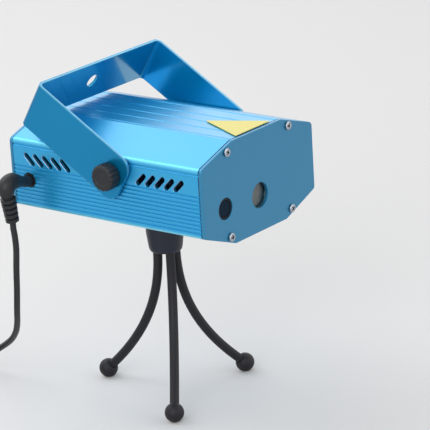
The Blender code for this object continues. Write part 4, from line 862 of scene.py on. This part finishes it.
def strip_path():
    """(x, distance from the pivot) up one arm, round a bend, across, and down."""
    t = np.linspace(0, np.pi / 2, 9)
    top = REACH - STRIP / 2
    straight = np.linspace(STRIP_CORNER, STRIP_END + top - BEND, 8)[1:-1]
    arm = np.concatenate([STRIP_CORNER * (1 - np.cos(t)), straight]) - STRIP_END
    t = np.linspace(0, np.pi / 2, 11)
    bend = columns(ARM_X - BEND * (1 - np.cos(t)), top - BEND * (1 - np.sin(t)))
    across = columns(np.linspace(ARM_X - BEND, 0, 8)[1:], top)
    half = np.vstack([columns(ARM_X, arm), bend, across])
    return np.vstack([half, (half * (-1, 1))[-2::-1]])


def bracket_grid():
    """The strip's section at each point of the path, square to it.

    At a distance d from the end, within the corner radius R, half the width is
    W/2 - R + the root of R^2 - (R - d)^2.
    """
    path = strip_path()
    along = unit(np.gradient(path, axis=0))
    outwards = columns(along[:, 1], -along[:, 0])
    walked = walk_along(path)
    end = np.minimum(walked, walked[-1] - walked)
    near = np.clip(STRIP_CORNER - end, 0, None)
    narrower = STRIP_CORNER - np.sqrt(STRIP_CORNER**2 - near**2)
    thick, wide = box_ring(STRIP / 2, STRIP_WIDTH / 2, 0.00035).T
    across = wide - np.sign(wide) * narrower[:, None]
    flat = path[:, None] + outwards[:, None] * thick[:, None]
    return columns(flat[..., 0], across, flat[..., 1])


def tilted(points):
    """From the bracket's own X, width and distance to the part's axes, leaned back."""
    x, wide, far = np.moveaxis(np.asarray(points), -1, 0)
    y = PIVOT_Y + wide * math.cos(TILT) + far * math.sin(TILT)
    return columns(x, y, PIVOT_Z - wide * math.sin(TILT) + far * math.cos(TILT))


# %% The bracket
def through_hole(radius, high, facing):
    """A hole through the strip, flared at both mouths; high is the strip's outer face."""
    levels = [(radius + grow, high - STRIP - z) for z, grow in FLARE[:0:-1]]
    levels += [(radius + grow, high + z) for z, grow in FLARE[1:]]
    return (tilted(stand(lathe(levels, 48), (0, 0, 0), facing)),)


bracket_mesh = cut(
    skin("bent_bracket", tilted(bracket_grid())),
    through_hole(0.0037, REACH, "up"),
    through_hole(PIVOT_HOLE, ARM_INNER + STRIP, "left"),
    through_hole(PIVOT_HOLE, ARM_INNER + STRIP, "right"),
)

# %% Painted highlights on its rims, and a glossier inside painted lighter
x, y, z = BRACKET_BLUE.place()
y, z = y - PIVOT_Y, z - PIVOT_Z
far = y * math.sin(TILT) + z * math.cos(TILT)
near = far.math("MAXIMUM", STRIP_CORNER - STRIP_END - far, 0)
half_width = (STRIP_CORNER**2 - near * near).root() + (STRIP_WIDTH / 2 - STRIP_CORNER)
# rim: where a pale colour is painted along the strip's rims, a painted highlight
rim = (abs(y * math.cos(TILT) - z * math.sin(TILT)) - half_width).above(-0.0003, 0.0005)
# inner: the inside faces, which get a glossier coat and a lighter colour that is painted light
inner = abs(x).below(ARM_X, 0.0002) * far.below(REACH - STRIP / 2, 0.0002)
face = BRACKET_BLUE.blend(inner, DYED_STRIP, shade(4, 156, 202))
BRACKET_BLUE.set(Base_Color=BRACKET_BLUE.blend(rim, face, shade(84, 160, 196)))
BRACKET_BLUE.set(Coat_Weight=inner * 0.8, Coat_Roughness=0.08)
piece(bracket_mesh, BRACKET_BLUE, "bracket", "bracket_blue", "hanging_bracket", even=True)
print("bracket:", len(bracket_mesh.polygons), "faces")

# %% [markdown]
# The thumb knobs are moulded discs with sixteen shallow flutes for the fingers
# and a broken edge. A lathe profile gives the disc, and a wave round it the
# flutes, so both are one surface.

# %% The thumb knobs
KNOB_RADIUS, KNOB_LENGTH, KNOB_FROM_MIDDLE = 0.0068, 0.0070, 0.0489
FLUTES, FLUTE_DEPTH = 16, 0.00045
KNOB_PROFILE = [
    (0.00225, 0.0042), (0.00225, 0.0), (KNOB_RADIUS - 0.0006, 0.0), (KNOB_RADIUS, 0.0006),
    (KNOB_RADIUS, KNOB_LENGTH - 0.0009), (KNOB_RADIUS - 0.0009, KNOB_LENGTH),
    (0.0040, KNOB_LENGTH), (0.0036, KNOB_LENGTH - 0.0004), (0.0001, KNOB_LENGTH - 0.0004),
]
knob_profile = soften(KNOB_PROFILE, 0.0004, 5)
outer = np.clip((knob_profile[:, 0] - 0.0052) / 0.0010, 0, 1)  # the flutes fade inwards
knob_grid = lathe(knob_profile, 192, FLUTES, FLUTE_DEPTH * outer)
for word, side in (("left", -1), ("right", 1)):
    place = (side * KNOB_FROM_MIDDLE, PIVOT_Y, PIVOT_Z)
    mesh = skin(f"{word}_fluted_knob", stand(knob_grid, place, word), smooth=40)
    piece(mesh, BLACK_PLASTIC, f"{word}_knob", "black_plastic", f"{word}_thumb_knob")

# %% [markdown]
# The tripod's head is a plastic barrel that gets narrower below. Three bendy
# legs plug into it, and each ends in a rubber ball. A leg's way outwards grows
# as a power of how far down it is, so it starts straight down and leans more
# and more.

# %% The tripod's head
HEAD_BOTTOM = 0.0773
LEG_RADIUS, SOCKET_RADIUS, SOCKET_DEPTH = 0.0024, 0.00265, 0.0063
ROOT_OUT, FOOT_OUT = 0.0052, 0.0430  # from the tripod's axis
ROOTS = np.radians([98.0, -118.0, -34.0])
FEET = np.radians([93.0, -142.0, -22.0])
HEAD_PROFILE = [
    (TRIPOD_HOLE, 0.0123), (TRIPOD_HOLE, 0.0188), (0.0095, 0.0188), (0.0098, 0.0185),
    (0.0098, 0.0103), (0.0088, 0.0023), (0.0084, 0.0008), (0.0078, 0.0), (0.0001, 0.0),
]
barrel = stand(lathe(soften(HEAD_PROFILE, 0.0007, 5), 96), (0, TRIPOD_Y, HEAD_BOTTOM))
roots = polar(ROOT_OUT, ROOTS, HEAD_BOTTOM) + (0, TRIPOD_Y, 0)
socket = lathe([(SOCKET_RADIUS, -SOCKET_DEPTH), (SOCKET_RADIUS, SOCKET_DEPTH)], 32)
head_mesh = cut(skin("tripod_barrel", barrel), [socket + root for root in roots], smooth=35)
piece(head_mesh, HEAD_PLASTIC, "tripod", "black_plastic", "tripod_head")

# %% Carrying a ring along a path
def carry(path, radii, steps, level):
    """Rings of the given radii about a path, square to it.

    Each ring's first axis is the fixed direction level made square to the path,
    which is safe as long as the path never runs along it.
    """
    along = unit(np.gradient(path, axis=0))
    side = unit(level - along * np.sum(along * level, axis=1, keepdims=True))
    other = np.cross(along, side)
    angle = np.linspace(0, 2 * np.pi, steps, endpoint=False)[None, :, None]
    radii = np.broadcast_to(radii, len(path))[:, None, None]
    return path[:, None] + radii * (np.cos(angle) * side[:, None] + np.sin(angle) * other[:, None])


# %% The legs and feet
FOOT_RADIUS, FOOT_FLAT = 0.0050, 0.0004
LEG_CURVE, LEG_IN = 2.2, 0.0060  # how late a leg bends, and its length in the head
feet = polar(FOOT_OUT, FEET, FOOT_RADIUS - FOOT_FLAT) + (0, TRIPOD_Y, 0)
low = math.asin((FOOT_RADIUS - FOOT_FLAT) / FOOT_RADIUS)
ball_angle = np.linspace(-low, np.pi / 2, 26)
ball = FOOT_RADIUS * columns(np.cos(ball_angle), np.sin(ball_angle))
ball_grid = lathe(np.vstack([(0.00001, ball[0, 1]), ball]), 56)
for word, root, foot, angle in zip(("left", "front", "right"), roots, feet, FEET):
    share = np.linspace(0, 1, 61)
    path = root + (foot - root) * columns(share**LEG_CURVE, share**LEG_CURVE, share)
    path = np.vstack([root + (0, 0, LEG_IN), path])
    arriving = unit(path[-1] - path[-2])
    path = path[walk_along(path) < walk_along(path)[-1] - 0.0018]  # stops inside the ball
    sideways = np.array([-math.sin(angle), math.cos(angle), 0.0])
    mesh = skin(f"{word}_bendy_leg", carry(path, LEG_RADIUS, 28, sideways), smooth=50)
    piece(mesh, BLACK_RUBBER, "tripod", "black_rubber", f"{word}_leg")
    hole_path = foot - arriving * np.array([0.0100, 0.0015])[:, None]
    socket = carry(hole_path, SOCKET_RADIUS, 28, sideways)
    mesh = cut(skin(f"{word}_ball_foot", ball_grid + foot), (socket,), smooth=40)
    piece(mesh, BLACK_RUBBER, "tripod", "black_rubber", f"{word}_foot")

# %% [markdown]
# The lead plugs into the side through an angled moulding: a thick elbow along a
# bent path, and below it a strain relief with five ribs and narrow necks, so
# that it can bend. The ribs are a wave in the radius of the same tube.

# %% The plug's moulding
PLUG_OUT = 0.0463
ELBOW = [
    (0, 0), (0.0022, 0), (0.0044, 0.0006), (0.0072, 0.0016), (0.0108, 0.0026), (0.0139, 0.0030),
    (0.0165, 0.0020), (0.0174, -0.0005), (0.0171, -0.0026),
]
ELBOW_RADII = [0.0028, 0.0028, 0.0028, 0.00365, 0.0045, 0.0045, 0.0045, 0.00365]
RIBS, NECK_RADIUS, RIB_HEIGHT, TAPER = 5, 0.0031, 0.0010, 0.16


def plug_point(out, up):
    """A place given as steps out from the wall and up from the socket's axis."""
    return np.array([-PLUG_OUT - out, JACK[1], JACK[2] + up])


elbow = smooth_line([plug_point(*step) for step in ELBOW], 0.0006)
numbers = np.arange(len(ELBOW_RADII))
elbow_radii = np.interp(np.linspace(0, numbers[-1], len(elbow)), numbers, ELBOW_RADII)
share = np.linspace(0, 1, RIBS * 14 + 1)[1:, None]
relief = plug_point(0.0168, -0.0038) * (1 - share) + RELIEF_END * share
phase = (share[:, 0] * RIBS) % 1.0
swell = np.clip(np.minimum(phase - 0.14, 1.0 - phase) / 0.15, 0, 1)
swell = swell**2 * (3 - 2 * swell)
relief_radii = (NECK_RADIUS + RIB_HEIGHT * swell) * (1 - TAPER * share[:, 0])
plug_radii = np.append(elbow_radii, relief_radii)
plug_grid = carry(np.vstack([elbow, relief]), plug_radii, 40, np.array([0.0, 1.0, 0.0]))
plug_mesh = skin("angled_plug", plug_grid, smooth=50)
plug = piece(plug_mesh, CORD_BLACK, "housing", "cord_black", "dc_plug")

# %% [markdown]
# At its other end the lead enters a small wall adapter, which lies on its back
# beside the coil. Case and cover are two halves with a fine seam between them.
# Each is a stack of rounded rectangles, drawn in at the outer rim.

# %% The adapter
ADAPTER = (-0.1030, 0.0990)  # middle of the face that the lead enters
HALF_X, HALF_Y, SPLIT, ADAPTER_TOP = 0.0170, 0.0270, 0.0190, 0.0260
OUTER_RIM, SEAM_RIM, ADAPTER_CORNER = 0.0012, 0.00025, 0.0062


def adapter_half(low, high, rim_low, rim_high):
    """Rounded rectangles from low to high."""
    rings = [
        columns(*box_ring(HALF_X - inset, HALF_Y - inset, ADAPTER_CORNER - inset, 9).T, z)
        for inset, z in rounded_rims(low, high, rim_low, rim_high, 6)
    ]
    return stand(rings, (ADAPTER[0], ADAPTER[1] + HALF_Y, 0))


case_mesh = skin("adapter_body", adapter_half(0, SPLIT - 0.0003, OUTER_RIM, SEAM_RIM))
cover_mesh = skin("adapter_lid", adapter_half(SPLIT, ADAPTER_TOP, SEAM_RIM, OUTER_RIM))
adapter_pieces = [
    piece(case_mesh, BLACK_PLASTIC, "housing", "black_plastic", "adapter_case"),
    piece(cover_mesh, BLACK_PLASTIC, "housing", "black_plastic", "adapter_cover"),
]

# %% Its pins and its strain relief
SLEEVE_END, PIN_SPACING = 0.0103, 0.0186
PIN_PROFILE = [
    (0.0020, 0.0), (0.0020, 0.0100), (0.00185, 0.0102), (0.00185, 0.0168), (0.0016, 0.0184),
    (0.0008, 0.0190), (0.0001, 0.0190),
]
PIN_PAINT = Paint("adapter_pin", STEEL, Roughness=0.3)
bare = PIN_PAINT.place()[2].above(ADAPTER_TOP + SLEEVE_END, 0.00005)
PIN_PAINT.set(Metallic=bare, Base_Color=PIN_PAINT.blend(bare, shade(34, 34, 36), STEEL))
for number, side in enumerate((-1, 1), 1):
    place = (ADAPTER[0] + side * PIN_SPACING / 2, ADAPTER[1] + HALF_Y, ADAPTER_TOP + 0.0003)
    mesh = skin(f"sleeved_pin_{number}", stand(lathe(soften(PIN_PROFILE, 0.0002, 3), 40), place))
    pin = piece(mesh, PIN_PAINT, "housing", "inner_steel", f"adapter_pin_{number}")
    adapter_pieces.append(pin)
RELIEF_PROFILE = [(0.0034, 0), (0.0034, 0.0021), (0.0028, 0.007), (0.0022, 0.014), (0.00168, 0.014)]
relief_grid = lathe(soften(RELIEF_PROFILE, 0.0012, 6), 40)
relief_place = (ADAPTER[0], ADAPTER[1] - 0.0003, ADAPTER_SOCKET[2])
relief_mesh = skin("adapter_strain_relief", stand(relief_grid, relief_place, "front"))
adapter_pieces.append(piece(relief_mesh, CORD_BLACK, "housing", "cord_black", "adapter_relief"))

# %% [markdown]
# On the rear plate are a speed dial with a white pointer line and a small
# sliding switch. The dial is turned like the knobs. Its line is paint: a mask
# made from the place decides where white takes over from black.

# %% The speed dial
DIAL_PROFILE = [
    (0.00325, 0.0066), (0.00325, 0.0), (0.0065, 0.0), (0.0065, 0.0018), (0.0056, 0.0022),
    (0.0054, 0.0104), (0.0047, 0.0110), (0.0001, 0.0110),
]
DIAL_BLACK = shade(44, 43, 48)
dial_profile = soften(DIAL_PROFILE, 0.0005, 5)
grip = np.clip((dial_profile[:, 1] - 0.0022) / 0.0008, 0, 1) * (dial_profile[:, 0] > 0.0045)
dial_grid = lathe(dial_profile, 216, 18, 0.00055 * grip)  # 18 flutes, .55 mm deep, on the grip
dial_place = (DIAL[0], REAR_Y + 0.0003, DIAL[2])
dial_mesh = skin("fluted_dial", stand(dial_grid, dial_place, "rear"), smooth=40)
DIAL_PLASTIC = moulded("dial_plastic", DIAL_BLACK, 0.44, 0.0005, 0.00002)
x, y, z = DIAL_PLASTIC.place()
line = abs(x - DIAL[0]).below(0.00045, 0.00005) * z.above(DIAL[2] + 0.0012, 0.00005)
line = line * y.above(REAR_Y + 0.0103, 0.00005)
DIAL_PLASTIC.set(Base_Color=DIAL_PLASTIC.blend(line, DIAL_BLACK, shade(232, 232, 226)))
piece(dial_mesh, DIAL_PLASTIC, "speed_dial", "black_plastic", "speed_knob")

# %% The switch's slider
SLIDER_X, SLIDER_Y, SLIDER_OUT, SLIDER_IN = 0.0018, 0.0016, 0.0025, -0.0074
RIDGES, RIDGE_DEPTH = 3, 0.00035


def slider_grid():
    """A rectangle whose outer face has ridges across it, a cosine wave along X."""
    x = np.linspace(-SLIDER_X, SLIDER_X, 49)
    wave = (1 - np.cos(np.pi * RIDGES * (x / SLIDER_X + 1))) / 2
    crests = columns(x, SLIDER_OUT - RIDGE_DEPTH * wave)
    x, z = np.vstack([crests, [(SLIDER_X, SLIDER_IN), (-SLIDER_X, SLIDER_IN)]]).T
    return [columns(x, y, z) for y in (-SLIDER_Y, SLIDER_Y)]


slider_mesh = skin("ridged_slider", stand(slider_grid(), SWITCH, "rear"), smooth=40)
piece(slider_mesh, BLACK_PLASTIC, "mode_switch", "black_plastic", "mode_slider")

# %% [markdown]
# A plain pale triangle is stuck on top of the housing. It is a thin film with
# rounded corners, so it is a softened outline with a small thickness.

# %% The decal
DECAL_BASE, DECAL_HEIGHT, DECAL = 0.0284, 0.0292, 0.0003
decal_corners = [(-DECAL_BASE / 2, 0.0), (DECAL_BASE / 2, 0.0), (0.0, DECAL_HEIGHT)]
decal_ring = soften(decal_corners, 0.0010, 6, closed=True)
decal_grid = [columns(*decal_ring.T, height) for height in (0.0, DECAL)]
decal_place = (0, FRONT_Y + 0.0024, MIDDLE_Z + HALF_HEIGHT + 0.0003)
decal_mesh = skin("triangle_decal", stand(decal_grid, decal_place))
piece(decal_mesh, DECAL_YELLOW, "housing", "decal_yellow", "top_decal")

# %% [markdown]
# The picture needs a plain pale floor and surround, and large soft lamps, which
# give the metal broad, gentle reflections. The surround shows white to the
# camera and to reflections, and lights the object at a plain level.

# %% Floor and lamps
FLOOR_REACH, FLOOR_GREY = 6.0, 0.80
LAMP_AIM = Vector((0, 0, 0.10))
floor_mesh = bpy.data.meshes.new("floor")
floor_corners = [(x * FLOOR_REACH, y * FLOOR_REACH, 0) for x, y in ((-1, -1), (1, -1), (1, 1), (-1, 1))]
floor_mesh.from_pydata(floor_corners, [], [(0, 1, 2, 3)])
floor_mesh.materials.append(Paint("pale_floor", (FLOOR_GREY,) * 3, Roughness=0.9).material)
floor = add_object("floor", floor_mesh)
floor.location = (0, 0, -0.0002)


def softbox(name, place, size, power):
    """A square lamp at place that looks at the projector."""
    lamp = bpy.data.lights.new(name, "AREA")
    lamp.shape, lamp.size, lamp.energy = "SQUARE", size, power
    aim = (LAMP_AIM - Vector(place)).to_track_quat("-Z", "Y")
    add_object(name, lamp).matrix_world = Matrix.Translation(place) @ aim.to_matrix().to_4x4()


softbox("key from the left", (-1.2, -0.4, 0.7), 1.0, 7.2)
softbox("back from above", (0.15, 0.96, 1.26), 1.3, 6.6)
softbox("corner light", (-0.50, 0.93, 1.20), 0.7, 2.4)
softbox("fill from the front", (0.5, -1.3, 0.7), 0.9, 3.0)
softbox("rims from the right", (1.1, 0.0, 1.0), 0.5, 0.9)
softbox("haze from behind", (1.25, 1.0, 0.62), 0.8, 1.2)

# %% The surround
world = bpy.data.worlds.new("surround")
world.use_nodes = True
bpy.context.scene.world = world
sky = Board(world.node_tree)
rays = world.node_tree.nodes.new("ShaderNodeLightPath").outputs
seen, glossy, clear = (Wire(sky, rays[f"Is {kind} Ray"]) for kind in ("Camera", "Glossy", "Transmission"))
shows = seen.math("MAXIMUM", seen.math("MAXIMUM", seen, glossy), clear)
background = world.node_tree.nodes["Background"]
background.inputs["Color"].default_value = (1, 1, 1, 1)
PLAIN_LIGHT = 0.55  # on the object, where white counts as 1
sky.feed(background.inputs["Strength"], shows * (1 - PLAIN_LIGHT) + PLAIN_LIGHT)
bpy.context.scene.view_settings.view_transform = "Standard"
